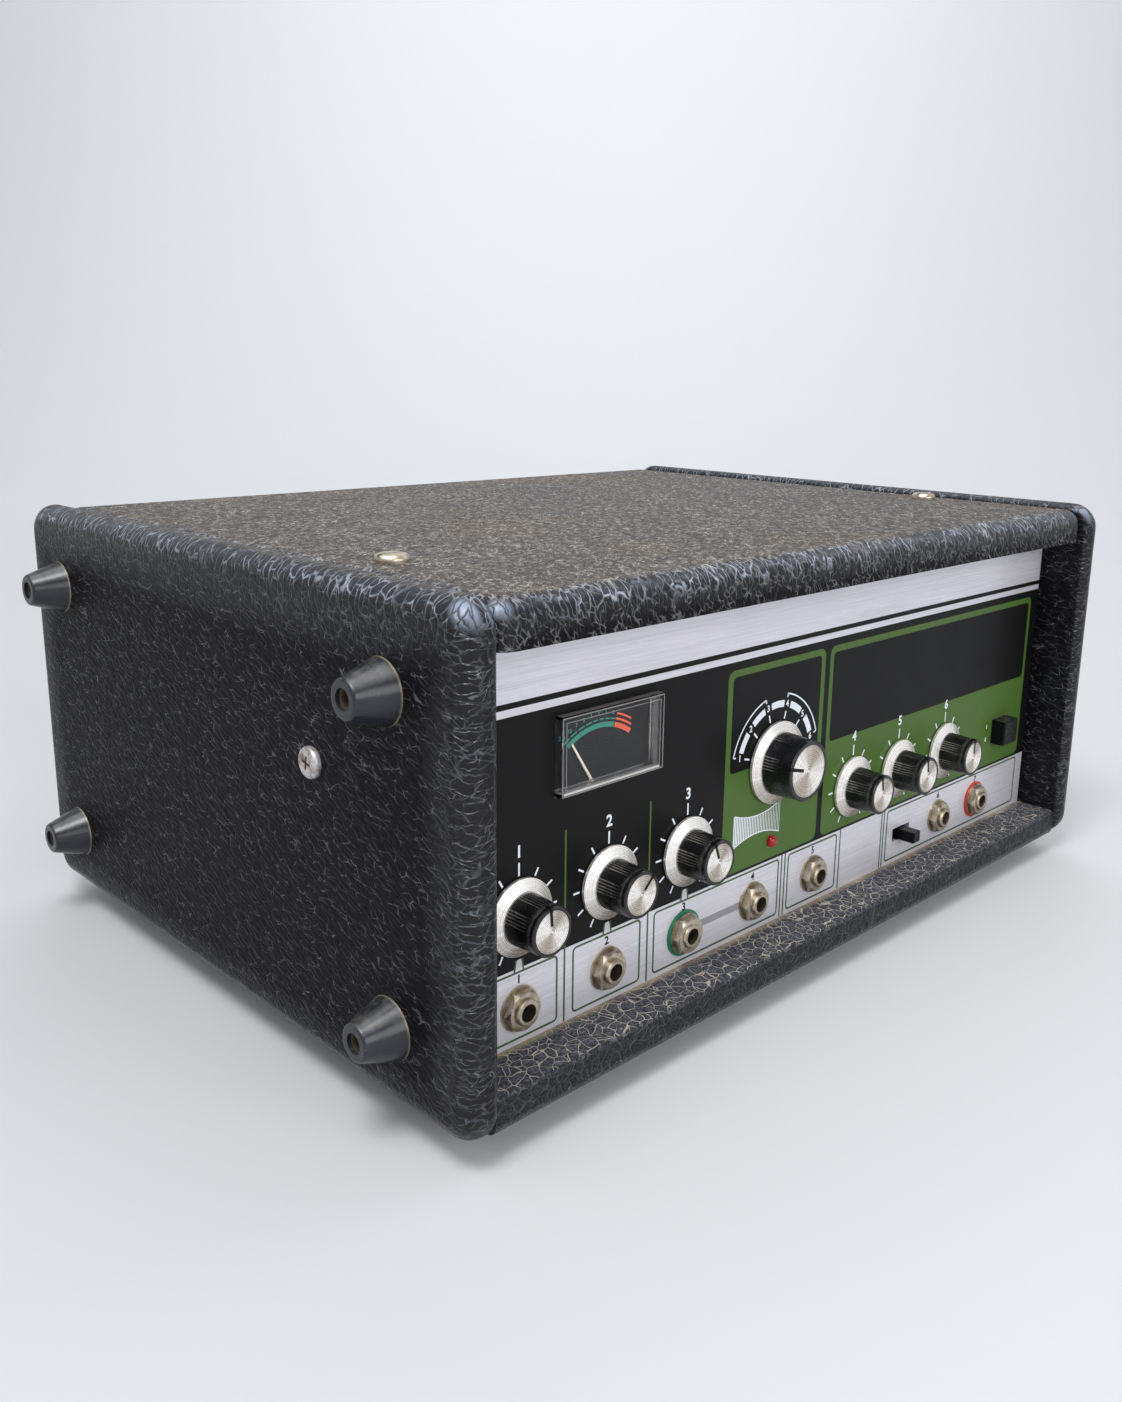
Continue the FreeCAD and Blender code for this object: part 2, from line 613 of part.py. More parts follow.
def side_foot_sleeves():
    """A metal sleeve lines the bore of each side foot, a little short of its mouth."""
    sleeves = []
    length = d.sideFootRise - d.sideFootFloor - d.sleeveShort
    for y, z in foot_places():
        start = (leftX - d.sideFootFloor, y, z)
        tube = rod(start, d.sideFootBore, length, "-x")
        sleeves.append(cut(tube, rod(start, d.sideFootBore - d.sleeveWall, length, "-x")))
    return keep("side_foot_sleeves", group(*sleeves))


def bottom_feet():
    """Round rubber feet, recessed from below for their screws."""
    feet = []
    for x, y in floor_places():
        taper = cone((x, y, 0), d.floorFootRadius - d.floorFootTaper, d.floorFootRadius,
                     d.floorFootRise)
        soft = soften(taper, d.floorFootEdge, is_round_at("z", 0), chamfer=True)
        recess = rod((x, y, 0), d.floorFootRecess, d.floorFootRise - d.floorFootWeb)
        feet.append(cut(soft, recess, rod((x, y, 0), shankHole, d.floorFootRise)))
    return keep("bottom_feet", group(*feet))


def headed_screw(at, head, rise, length, axis, edge, chamfer=False):
    """A screw whose head stands up from a point along an axis; its shank goes the other way."""
    opposite = axis[1:] if axis.startswith("-") else "-" + axis
    place = as_size(at["xyz".index(axis[-1])])
    crown = place - rise if axis.startswith("-") else place + rise
    domed = soften(rod(at, head, rise, axis), edge, is_round_at(axis[-1], crown), chamfer)
    return fuse(domed, rod(at, d.screwShank, length, opposite), name="Screw")


def case_screws():
    """The screws of the case: chassis screws, and those of both sets of feet."""
    screws = []
    for side, axis in ((-1, "-x"), (1, "x")):
        start = (side * rightX, back(d.sideScrewBack), up(d.sideScrewUp))
        screws.append(headed_screw(start, d.sideScrewHead, d.sideScrewRise,
                                   d.sideThick + d.chassisSide, axis, d.sideScrewRound))
    inFoot = d.sideFootBore - d.sleeveWall - d.footScrewGap
    for y, z in foot_places():
        start = (leftX - d.sideFootFloor, y, z)
        screws.append(headed_screw(start, inFoot, d.footScrewRise, d.sideFootFloor + d.screwGrip,
                                   "-x", d.smallHeadEdge, chamfer=True))
    for x, y in floor_places():
        start = (x, y, d.floorFootRise - d.floorFootWeb)
        screws.append(headed_screw(start, d.floorScrewHead, d.floorScrewRise,
                                   d.screwGrip + d.floorFootWeb, "-z", d.smallHeadEdge,
                                   chamfer=True))
    return keep("case_screws", group(*screws))


def handle():
    """A flexible strap bowed out from the right side, held by a metal cap at each end."""
    half = d.handleSpan / 2
    bowRadius = (half * half + d.handleBow * d.handleBow) / (d.handleBow * 2)
    centreX = rightX + d.handleBow - bowRadius
    z = up(d.handleUp)
    low = z - d.handleWide / 2

    def bowed():
        outer = rod((centreX, 0, low), bowRadius + d.handleThick, d.handleWide)
        return cut(outer, rod((centreX, 0, low), bowRadius, d.handleWide), name="Bow")
    reach = half + d.handleCapLength / 2
    window = span(rightX, rightX + d.handleBow + d.handleThick + d.handleCapRound, -reach, reach,
                  low, low + d.handleWide)
    keep("handle_strap", common(bowed(), window))
    crown = rightX + d.handleCapRise
    caps = []
    for side in (-1, 1):
        middle = side * (half + d.handleCapShift)
        block = span(rightX, crown, middle - d.handleCapLength / 2, middle + d.handleCapLength / 2,
                     z - d.handleCapWide / 2, z + d.handleCapWide / 2)
        soft = soften(block, d.handleCapRound,
                      lambda edge: lies_at(edge, "x", crown) or runs_along(edge, "x"))
        caps.append(cut(soft, bowed()))
    keep("handle_end_caps", group(*caps))


side_feet()
side_foot_sleeves()
bottom_feet()
case_screws()
handle()


# ---------------------------------------------------------------- front panel
volumeX = [across(d.volumeFirst + d.volumePitch * n) for n in range(3)]
echoX = [inward(size) for size in (d.echoFirst, d.echoSecond, d.echoThird)]
smallKnobX = volumeX + echoX
modeX = -d.modeAside
jackX = [across(d.jackFirst + d.jackPitch * n) for n in range(3)]
jackX += [-d.jackFourth, as_size(d.jackFifth), inward(d.jackSixth), inward(d.jackSeventh)]
knobZ, modeZ, jackZ = up(d.knobRow), up(d.modeUp), up(d.jackRow)
ledX, ledZ = -d.ledAside, up(d.ledUp)
powerX, powerZ = inward(d.powerInward), up(d.powerUp)
slideX, slideZ = inward(d.slideInward), up(d.slideUp)
slideSlotHalf = d.slideWide / 2 + d.slideTravel + d.slideEndSlack
slideSlotHigh = d.slideHigh / 2 + d.slideSideSlack
powerHoleHalf = d.powerWide / 2 + d.powerSlack
powerHoleHigh = d.powerHigh / 2 + d.powerSlack
meterX0, meterZ0 = across(d.meterLeft), up(d.meterBase)
meterX1, meterZ1 = meterX0 + d.meterWide, meterZ0 + d.meterHigh
meterPivotX, meterPivotZ = meterX0 + d.meterWide / 2, meterZ0 - d.pivotDrop


def cut_panel_openings(body, middleY, thick, slack):
    """The openings for all controls, cut through a sheet of a thickness around its middle."""
    holes = new_sketch(body, "XZ_Plane", (0, 0, -middleY))
    for x in smallKnobX:
        add_circle(holes, x, knobZ, d.bushRadius + slack)
    add_circle(holes, modeX, modeZ, d.bushRadius + slack)
    for x in jackX:
        add_circle(holes, x, jackZ, d.noseRadius + slack)
    add_circle(holes, ledX, ledZ, d.ledRadius + slack)
    add_rectangle(holes, meterX0 - slack, meterZ0 - slack, meterX1 + slack, meterZ1 + slack)
    add_rectangle(holes, powerX - powerHoleHalf, powerZ - powerHoleHigh,
                  powerX + powerHoleHalf, powerZ + powerHoleHigh)
    add_rectangle(holes, slideX - slideSlotHalf, slideZ - slideSlotHigh,
                  slideX + slideSlotHalf, slideZ + slideSlotHigh)
    pocket(body, holes, thick * 2, midplane=True)


def faceplate():
    body = doc.addObject("PartDesign::Body", "FaceBody")
    outline = new_sketch(body, "XZ_Plane", (0, 0, -panelBackY))
    side = innerX - d.panelSide
    add_rectangle(outline, -side, floorZ + d.panelLift, side, up(d.panelTop))
    pad(body, outline, d.panelThick)
    cut_panel_openings(body, panelBackY - d.panelThick / 2, d.panelThick, d.plateSlack)
    return keep("faceplate", body)


def chassis_front():
    """The steel wall behind the face plate, which carries all controls."""
    body = doc.addObject("PartDesign::Body", "WallBody")
    outline = new_sketch(body, "XZ_Plane", (0, 0, -panelBackY))
    add_rectangle(outline, -chassisX, floorZ, chassisX, deckZ)
    pad(body, outline, d.sheetThick, reverse=True)
    cut_panel_openings(body, panelBackY + d.sheetThick / 2, d.sheetThick, d.wallSlack)
    return keep("chassis_front", body)


def board_corners():
    """The circuit board's sides along X and Y; it ends short of the motor and the rear wall."""
    x0 = -chassisX + d.boardLeft
    x1 = inward(d.capstanInward) - d.motorAside - d.motorRadius - d.boardClear
    return x0, x1, back(d.boardFront), chassisRearY - d.boardRear


def chassis_tray():
    """Folded steel: a floor with a windowed rear wall, and two sides flanged for the deck."""
    pan = doc.addObject("PartDesign::Body", "PanBody")
    outline = new_sketch(pan, "XY_Plane", (0, 0, floorZ))
    add_rectangle(outline, -chassisX, wallY, chassisX, chassisRearY)
    pad(pan, outline, d.sheetThick)
    rear = new_sketch(pan, "XZ_Plane", (0, 0, -chassisRearY))
    add_rectangle(rear, -chassisX, floorZ, chassisX, deckZ)
    add_rectangle(rear, -chassisX + d.windowSide, floorZ + d.windowLow, chassisX - d.windowSide,
                  deckZ - d.windowTop)
    pad(pan, rear, d.sheetThick)
    posts = new_sketch(pan, "XY_Plane", (0, 0, floorZ + d.sheetThick / 2))
    x0, x1, y0, y1 = board_corners()
    for x in (x0 + d.postInset, x1 - d.postInset):
        for y in (y0 + d.postInset, y1 - d.postInset):
            add_circle(posts, x, y, d.postRadius)
    pad(pan, posts, d.boardUp - d.sheetThick / 2)
    pieces = [pan]
    low, high = floorZ + d.sheetThick, deckZ
    for side in (-1, 1):
        body = doc.addObject("PartDesign::Body", "FlangeBody")
        profile = new_sketch(body, "XZ_Plane", (0, 0, -(chassisRearY - d.sheetThick)))
        outer, inner = side * chassisX, side * (chassisX - d.sheetThick)
        lip = side * (chassisX - d.flangeWide)
        add_polygon(profile, [(outer, low), (inner, low), (inner, high - d.sheetThick),
                              (lip, high - d.sheetThick), (lip, high), (outer, high)])
        pad(body, profile, chassisRearY - d.sheetThick - wallY)
        pieces.append(body)
    return keep("chassis_tray", group(*pieces))


faceplate()
chassis_front()
chassis_tray()


# ---------------------------------------------------------------- knobs and rotary controls
FLUTE_GROUPS = 6
GROUP_FLUTES = 5


def grip(at, base, tip, cap, step, angle):
    """A tapered handgrip with flutes in six groups, a smooth rim and a seat for the cap."""
    body = doc.addObject("PartDesign::Body", "GripBody")
    profile = new_sketch(body, "XZ_Plane")
    start = d.skirtGap + d.skirtRise
    end = d.knobRise
    neck = end - d.rimLength
    seat = end - d.capThick - d.capSink
    hub, foot = d.shaftRadius + d.hubWall, d.skirtGap + d.nutRoom
    floor = end - d.crownThick
    bevel = d.rimBevel
    add_polygon(profile, [(d.shaftRadius, foot), (hub, foot), (hub, start), (base, start),
                          (tip - bevel / 4, neck), (tip, neck + bevel), (tip, end - bevel),
                          (tip - bevel, end), (cap, end), (cap, seat), (0, seat), (0, floor),
                          (d.shaftRadius, floor)])
    revolve(body, profile)
    cutter = new_sketch(body, "XY_Plane", (0, 0, start))
    inner, outer = base - d.fluteDeep, base + d.fluteReach
    for n in range(GROUP_FLUTES):
        turn = math.radians(180 / FLUTE_GROUPS + (n - (GROUP_FLUTES - 1) / 2) * step.value)
        sine, cosine = math.sin(turn), math.cos(turn)
        corners = [(inner, -d.fluteFloor), (outer, -d.fluteMouth), (outer, d.fluteMouth),
                   (inner, d.fluteFloor)]
        add_polygon(cutter, [(radius * cosine - half * sine, radius * sine + half * cosine)
                             for radius, half in corners])
    pocket(body, cutter, neck - start, reverse=True)
    doc.recompute()
    flutes = body.Tip
    pattern = body.newObject("PartDesign::PolarPattern", "FluteGroups")
    pattern.Originals = [flutes]
    pattern.Axis = (cutter, ["N_Axis"])
    pattern.Angle = 360
    pattern.Occurrences = FLUTE_GROUPS
    body.Tip = pattern
    turned = Rotation(Vector(0, 1, 0), angle) * AXES["-y"]
    return put(body, *at, turn=turned)


def knob(label, x, z, angle, big=False):
    """One knob on its shaft: a fluted grip, and in metal its skirt, cap and shaft."""
    base, tip = (d.bigGripRadius, d.bigGripTip) if big else (d.gripRadius, d.gripTip)
    cap = d.bigCapRadius if big else d.capRadius
    rim = d.bigSkirtRadius if big else d.skirtRadius
    step = d.bigFluteTurn if big else d.fluteTurn
    keep(f"{label}_grip", grip((x, panelY, z), base, tip, cap, step, angle))
    low = panelY - d.skirtGap
    disc = rod((x, low, z), rim, d.skirtEdge, "-y")
    dome = cone((x, low - d.skirtEdge, z), rim, base + d.skirtCollar, d.skirtRise - d.skirtEdge,
                "-y")
    room = rod((x, low, z), d.nutAcross / 2 + d.nutRoomGap, d.nutRoom, "-y")
    opening = rod((x, low, z), d.shaftRadius + d.hubWall, d.skirtRise, "-y")
    skirt = cut(fuse(disc, dome), room, opening)
    plate = rod((x, panelY - d.knobRise + d.capSink, z), cap, d.capThick, "y")
    shaftFront = panelY - d.knobRise + d.crownThick
    shaftRear = wallY + d.potDepth - d.shaftShort
    shaft = rod((x, shaftFront, z), d.shaftRadius, shaftRear - shaftFront, "y")
    keep(f"{label}_metal", group(skirt, plate, shaft))


def rotary_body(x, z, radius, depth):
    """The still part of a rotary control: a can behind the panel and its threaded bush."""
    front = panelY - d.bushRise
    can = rod((x, wallY, z), radius, depth, "y")
    bush = rod((x, front, z), d.bushRadius, wallY - front, "y")
    bore = rod((x, front, z), d.shaftRadius + d.shaftSlack, wallY - front + d.potDepth - d.potFloor,
               "y")
    return cut(fuse(can, bush), bore)


KNOB_ANGLES = {"volume_knob_1": -5.0, "volume_knob_2": 45.0, "volume_knob_3": -20.0,
               "echo_knob_1": -10.0, "echo_knob_2": -8.0, "echo_knob_3": 3.0}
for knobX, (knobLabel, knobAngle) in zip(smallKnobX, KNOB_ANGLES.items()):
    knob(knobLabel, knobX, knobZ, knobAngle)
knob("mode_knob", modeX, modeZ, -75.0, big=True)
keep("potentiometers", group(*[rotary_body(x, knobZ, d.potRadius, d.potDepth)
                               for x in smallKnobX]))
keep("mode_switch_body", rotary_body(modeX, modeZ, d.modeSwitchRadius, d.modeSwitchDepth))


# ---------------------------------------------------------------- jacks
def jack(x):
    """A phone jack: its housing behind the wall and the nose through it, with the plug's bore."""
    halfWide, halfHigh = d.jackBodyWide / 2, d.jackBodyHigh / 2
    shell = span(x - halfWide, x + halfWide, wallY, wallY + d.jackBodyDeep, jackZ - halfHigh,
                 jackZ + halfHigh)
    lip = panelY - d.noseRise
    nose = rod((x, lip, jackZ), d.noseRadius, wallY - lip, "y")
    soft = soften(nose, d.noseEdge, is_round_at("y", lip), chamfer=True)
    bore = rod((x, lip, jackZ), d.plugBore, wallY - lip + d.jackBodyDeep - d.jackBoreFloor, "y")
    return cut(fuse(shell, soft), bore)


def jack_nut(x, under):
    """A washer and a nut with a turned crown, on a face that stands out by a ring's thickness."""
    seat = panelY - under
    washer = rod((x, seat, jackZ), d.washerRadius, d.washerThick, "-y")
    flats = hexagon((x, seat - d.washerThick, jackZ), d.jackNutAcross, d.jackNutThick, "-y")
    crown = cone((x, seat - d.washerThick, jackZ), d.jackNutAcross / 2 + d.jackNutCrown,
                 d.jackNutAcross / 2, d.jackNutThick, "-y")
    hole = rod((x, seat, jackZ), d.noseRadius + d.nutSlack, d.washerThick + d.jackNutThick, "-y")
    return cut(fuse(washer, common(flats, crown)), hole)


def control_nut(x, z):
    flats = hexagon((x, panelY, z), d.nutAcross, d.nutThick, "-y")
    return cut(flats, rod((x, panelY, z), d.bushRadius + d.nutSlack, d.nutThick, "-y"))


def jack_ring(label, x):
    disc = rod((x, panelY, jackZ), d.ringRadius, d.ringThick, "-y")
    hole = rod((x, panelY, jackZ), d.noseRadius + d.nutSlack, d.ringThick, "-y")
    return keep(label, cut(disc, hole))


ringed = {2: "jack_ring_green", 6: "jack_ring_red"}
keep("jack_bodies", group(*[jack(x) for x in jackX]))
nuts = [jack_nut(x, d.ringThick if n in ringed else 0) for n, x in enumerate(jackX)]
nuts += [control_nut(x, knobZ) for x in smallKnobX]
nuts.append(control_nut(modeX, modeZ))
keep("panel_nuts", group(*nuts))
for n, ringLabel in ringed.items():
    jack_ring(ringLabel, jackX[n])


# ---------------------------------------------------------------- meter
def meter():
    """Clear cover, black cup with the dial at its front, and the needle between them."""
    dialY = panelY + d.meterDialDepth
    wall = d.meterWall
    front, rear = panelY - d.meterRise, dialY - d.dialGap
    outer = span(meterX0, meterX1, front, rear, meterZ0, meterZ1)
    inner = span(meterX0 + wall, meterX1 - wall, front + wall, rear, meterZ0 + wall, meterZ1 - wall)
    clear = soften(outer, d.coverRound,
                   lambda edge: lies_at(edge, "y", front) or runs_along(edge, "y"))
    keep("meter_cover", cut(clear, inner))
    cup = span(meterX0, meterX1, dialY, panelY + d.meterBack, meterPivotZ - d.movementDrop, meterZ1)
    bearing = rod((meterPivotX, dialY, meterPivotZ), d.arborRadius + d.arborSlack, d.arborRoom, "y")
    keep("meter_housing", cut(cup, bearing))
    # needle: a thin tapered pointer on a short arbor in front of the dial
    tip, root = d.needleTip / 2, d.needleRoot / 2
    body = doc.addObject("PartDesign::Body", "NeedleBody")
    outline = new_sketch(body, "XZ_Plane")
    add_polygon(outline, [(-root, -d.needleTail), (root, -d.needleTail), (tip, d.needleLength),
                          (-tip, d.needleLength)])
    pad(body, outline, d.needleThick)
    arbor = new_sketch(body, "XZ_Plane")
    add_circle(arbor, 0, 0, d.arborRadius)
    pad(body, arbor, d.arborLength, reverse=True)
    put(body, meterPivotX, dialY - d.needleLift, meterPivotZ,
        turn=Rotation(Vector(0, 1, 0), NEEDLE_REST))
    keep("meter_needle", body)


NEEDLE_REST = -33.0
meter()


# ---------------------------------------------------------------- switches and lamp
def power_switch():
    """A push key with rounded front edges, and the open housing in which it slides."""
    front, rear = panelY - d.powerRise, wallY + d.powerStem
    key = span(powerX - d.powerWide / 2, powerX + d.powerWide / 2, front, rear,
               powerZ - d.powerHigh / 2, powerZ + d.powerHigh / 2)
    keep("power_button", soften(key, d.powerRound, lambda edge: lies_at(edge, "y", front)))
    floor = rear + d.powerTravel + d.powerSpare
    halfWide = d.powerWide / 2 + d.powerBodyWall
    halfHigh = d.powerHigh / 2 + d.powerBodyRim
    block = span(powerX - halfWide, powerX + halfWide, wallY, floor + d.powerBodyRear,
                 powerZ - halfHigh, powerZ + halfHigh)
    room = span(powerX - powerHoleHalf, powerX + powerHoleHalf, wallY, floor,
                powerZ - powerHoleHigh, powerZ + powerHoleHigh)
    return cut(block, room)


def slide_switch():
    """A short lever in a slot, and the flat housing in which it slides from side to side."""
    front = panelY - d.slideRise
    lever = span(slideX - d.slideWide / 2, slideX + d.slideWide / 2, front, wallY + d.slideStem,
                 slideZ - d.slideHigh / 2, slideZ + d.slideHigh / 2)
    keep("slide_lever", soften(lever, d.slideRound, lambda edge: lies_at(edge, "y", front)))
    halfWide = slideSlotHalf + d.slideBodyWall
    halfHigh = slideSlotHigh + d.slideBodyRim
    block = span(slideX - halfWide, slideX + halfWide, wallY, wallY + d.slideBodyDeep,
                 slideZ - halfHigh, slideZ + halfHigh)
    room = span(slideX - slideSlotHalf, slideX + slideSlotHalf, wallY, wallY + d.slideRoom,
                slideZ - slideSlotHigh, slideZ + slideSlotHigh)
    return cut(block, room)


def lamp():
    """A lamp lens with a domed tip, held behind the wall by its flange."""
    front = panelY - d.ledRise
    barrel = rod((ledX, front, ledZ), d.ledRadius, wallY + d.ledStem - front, "y")
    lens = soften(barrel, d.ledRound, is_round_at("y", front))
    flange = rod((ledX, wallY, ledZ), d.ledRadius + d.ledFlange, d.ledFlangeThick, "y")
    keep("led_lens", fuse(lens, flange))


keep("switch_bodies", group(power_switch(), slide_switch()))
lamp()


# ---------------------------------------------------------------- deck and tape transport
capstanX = inward(d.capstanInward)
tapeY = back(d.tapeLine)
tapeHalf = d.tapeThick / 2
capstanY = tapeY - tapeHalf - d.nipGap - d.capstanRadius
tapeZ = deckTopZ + d.trayWall
tapeTopZ = tapeZ + d.tapeWide
flyTopZ = deckZ - d.bearingDrop
flyZ = flyTopZ - d.flyThick
motorX, motorY = capstanX - d.motorAside, back(d.motorBack)
motorZ = floorZ + d.sheetThick
trayX0, trayX1 = across(d.trayLeft), capstanX - d.trayAside
trayY0, trayY1 = back(d.trayFront), chassisRearY - d.trayRear
gateLeftX, gateRightY = trayX0 + d.gateAcross, back(d.gateBack)
guideReach = tapeHalf + d.guideGap + d.guideRadius
guideRightX = inward(d.guideInward)
headFirstX, headLastX = gateLeftX + d.headStart, capstanX - d.headEnd
headPitch = (headLastX - headFirstX) / (d.headCount - 1)
rollerY = tapeY + tapeHalf + d.nipGap + d.rollerRadius
rollerZ = deckTopZ + d.bearingLip + d.rollerLift
rollerTopZ = tapeTopZ + d.rollerRise
armX, armY = capstanX + d.armAside, rollerY + d.armBehind
armZ = rollerTopZ + d.armLift


def deck_plate():
    body = doc.addObject("PartDesign::Body", "DeckBody")
    outline = new_sketch(body, "XY_Plane", (0, 0, deckZ))
    add_rectangle(outline, -chassisX, back(d.deckFront), chassisX, chassisRearY)
    pad(body, outline, d.deckThick)
    holes = new_sketch(body, "XY_Plane", (0, 0, deckZ))
    add_circle(holes, capstanX, capstanY, d.bearingNeck + d.bearingHole)
    pocket(body, holes, midplane=True)
    return keep("deck_plate", body)


def capstan_parts():
    """The dished flywheel with the capstan as its axle, and the flanged bearing it runs in."""
    wheel = rod((capstanX, capstanY, flyZ), d.flyRadius, d.flyThick)
    dish = rod((capstanX, capstanY, flyZ), d.flyRadius - d.flyRim, d.flyDish)
    hub = rod((capstanX, capstanY, flyZ), d.flyHub, d.flyDish)
    low = flyZ - d.flyBelow
    shaft = rod((capstanX, capstanY, low), d.capstanRadius, tapeTopZ + d.capstanRise - low)
    turned = fuse(cut(wheel, cut(dish, hub)), shaft)
    keep("capstan_flywheel", soften(turned, d.flyEdge, is_round_at("z", flyTopZ, d.flyRadius)))
    neckZ = flyTopZ + d.bearingGap
    tube = rod((capstanX, capstanY, neckZ), d.bearingNeck, deckTopZ + d.bearingLip - neckZ)
    flange = rod((capstanX, capstanY, deckTopZ), d.bearingRadius, d.bearingLip)
    bore = rod((capstanX, capstanY, neckZ), d.capstanRadius + d.bearingSlack,
               deckTopZ + d.bearingLip - neckZ)
    keep("capstan_bearing", cut(fuse(tube, flange), bore))


def motor_parts():
    """The motor can on its foot, with a collar at the top, and the pulley on its shaft."""
    top = motorZ + d.motorHigh
    can = soften(rod((motorX, motorY, motorZ), d.motorRadius, d.motorHigh), d.motorRound,
                 is_round_at("z", top))
    reach = d.motorRadius + d.motorFootProud
    foot = span(motorX - reach, motorX + reach, motorY - d.motorFootHalf, motorY + d.motorFootHalf,
                motorZ, motorZ + d.motorFootThick)
    collar = rod((motorX, motorY, top), d.motorCollar, d.motorCollarHigh)
    bore = rod((motorX, motorY, motorZ + d.motorFloor), d.motorShaft + d.bearingSlack,
               d.motorHigh + d.motorCollarHigh - d.motorFloor)
    keep("drive_motor", cut(fuse(can, foot, collar), bore))
    pulley = rod((motorX, motorY, flyZ), d.pulleyRadius, d.flyThick)
    low = motorZ + d.motorShaftLift
    keep("motor_pulley", fuse(pulley, rod((motorX, motorY, low), d.motorShaft, flyTopZ - low)))


def drive_belt():
    """A flat belt around the flywheel and the pulley, as two arcs and two tangent runs."""
    gap = d.seatGap.value
    x1, y1 = capstanX.value, capstanY.value
    x2, y2 = motorX.value, motorY.value
    reach = math.hypot(x2 - x1, y2 - y1)
    heading = math.atan2(y2 - y1, x2 - x1)

    def point(x, y, radius, angle):
        return Vector(x + radius * math.cos(angle), y + radius * math.sin(angle), 0)

    def loop(extra):
        big, small = d.flyRadius.value + extra, d.pulleyRadius.value + extra
        lean = math.acos((big - small) / reach)
        a1 = point(x1, y1, big, heading + lean)
        a2 = point(x1, y1, big, heading + math.pi)
        a3 = point(x1, y1, big, heading - lean)
        b1 = point(x2, y2, small, heading - lean)
        b2 = point(x2, y2, small, heading)
        b3 = point(x2, y2, small, heading + lean)
        return Part.Wire([Part.Arc(a1, a2, a3).toShape(), Part.LineSegment(a3, b1).toShape(),
                          Part.Arc(b1, b2, b3).toShape(), Part.LineSegment(b3, a1).toShape()])
    ring = Part.Face(loop(gap + d.beltThick.value)).cut(Part.Face(loop(gap)))
    obj = doc.addObject("Part::Feature", "Belt")
    obj.Shape = ring.extrude(Vector(0, 0, d.beltWide.value))
    low = (flyZ + (d.flyThick - d.beltWide) / 2).value
    obj.Placement = Placement(Vector(0, 0, low), Rotation())
    return keep("drive_belt", obj)


def pinch_parts():
    """The rubber roller on its pin, and the arm above it that swings it off the capstan."""
    tube = rod((capstanX, rollerY, rollerZ), d.rollerRadius, rollerTopZ - rollerZ)
    bore = rod((capstanX, rollerY, rollerZ), d.pinRadius + d.pinSlack, rollerTopZ - rollerZ)
    keep("pinch_roller", cut(soften(tube, d.rollerEdge, is_round_at("z", rollerTopZ)), bore))
    alongX, alongY = -d.armAside, -d.armBehind
    length = math.hypot(alongX.value, alongY.value)
    turn = Rotation(Vector(0, 0, 1), math.degrees(math.atan2(alongY.value, alongX.value)))
    corner = turn.multVec(Vector(0, -d.armHalf.value, 0))
    bar = box((0, 0, 0), (length, d.armHalf * 2, d.armThick))
    put(bar, armX + corner.x, armY + corner.y, armZ, turn=turn)
    tip = rod((capstanX, rollerY, armZ), d.armHalf, d.armThick)
    pinZ = rollerZ - d.pinBelow
    pin = rod((capstanX, rollerY, pinZ), d.pinRadius, armZ + d.armThick - pinZ)
    hubZ = deckTopZ + d.pivotStepHigh + d.hubClear
    hub = rod((armX, armY, hubZ), d.armHub, armZ + d.armThick - hubZ)
    bore = rod((armX, armY, hubZ), d.pivotRadius + d.pinSlack, armZ + d.armThick - hubZ)
    keep("pinch_arm", cut(fuse(bar, tip, pin, hub), bore))


def guide_places():
    """Posts on the inner side of each turn of the tape, and one between heads and capstan."""
    yield gateLeftX + guideReach, tapeY + guideReach
    yield headLastX + d.guideAfter, tapeY - guideReach
    yield guideRightX - guideReach, tapeY + guideReach
    yield guideRightX - guideReach, gateRightY - guideReach


def tape_heads():
    """Erase, record and three playback heads with rounded faces, on one base."""
    faceY = tapeY - tapeHalf - d.headGap
    rearFaceY = faceY - d.headDeep
    baseTopZ = deckTopZ + d.headBaseThick
    noseY = faceY - d.headNose
    half = d.headWide / 2
    heads = [span(headFirstX - d.headBaseSide, headLastX + d.headBaseSide,
                  rearFaceY - d.headBaseFront, noseY, deckTopZ, baseTopZ)]
    for n in range(int(d.headCount.value)):
        x = headFirstX + headPitch * n
        shell = span(x - half, x + half, rearFaceY, noseY, baseTopZ, baseTopZ + d.headHigh)
        crown = rod((x, faceY - half - d.headCrown, baseTopZ), half + d.headCrown, d.headHigh)
        window = span(x - half, x + half, noseY - d.headNose, faceY, baseTopZ,
                      baseTopZ + d.headHigh)
        heads.append(fuse(shell, common(crown, window)))
    return keep("tape_heads", group(*heads))


def tape_guides():
    """Flanged posts that steer the tape, and the stepped pivot post of the pinch arm."""
    guides = []
    for x, y in guide_places():
        flange = d.guideRadius + d.guideFlange
        capZ = tapeTopZ + d.guideOver
        post = rod((x, y, deckTopZ), d.guideRadius, capZ - deckTopZ)
        lower = rod((x, y, deckTopZ), flange, tapeZ - d.guideUnder - deckTopZ)
        guides.append(fuse(post, lower, rod((x, y, capZ), flange, d.guideCap)))
    pivot = rod((armX, armY, deckTopZ), d.pivotRadius, tapeTopZ + d.pivotAbove - deckTopZ)
    step = rod((armX, armY, deckTopZ), d.pivotStep, d.pivotStepHigh)
    guides.append(fuse(pivot, step))
    return keep("tape_guides", group(*guides))


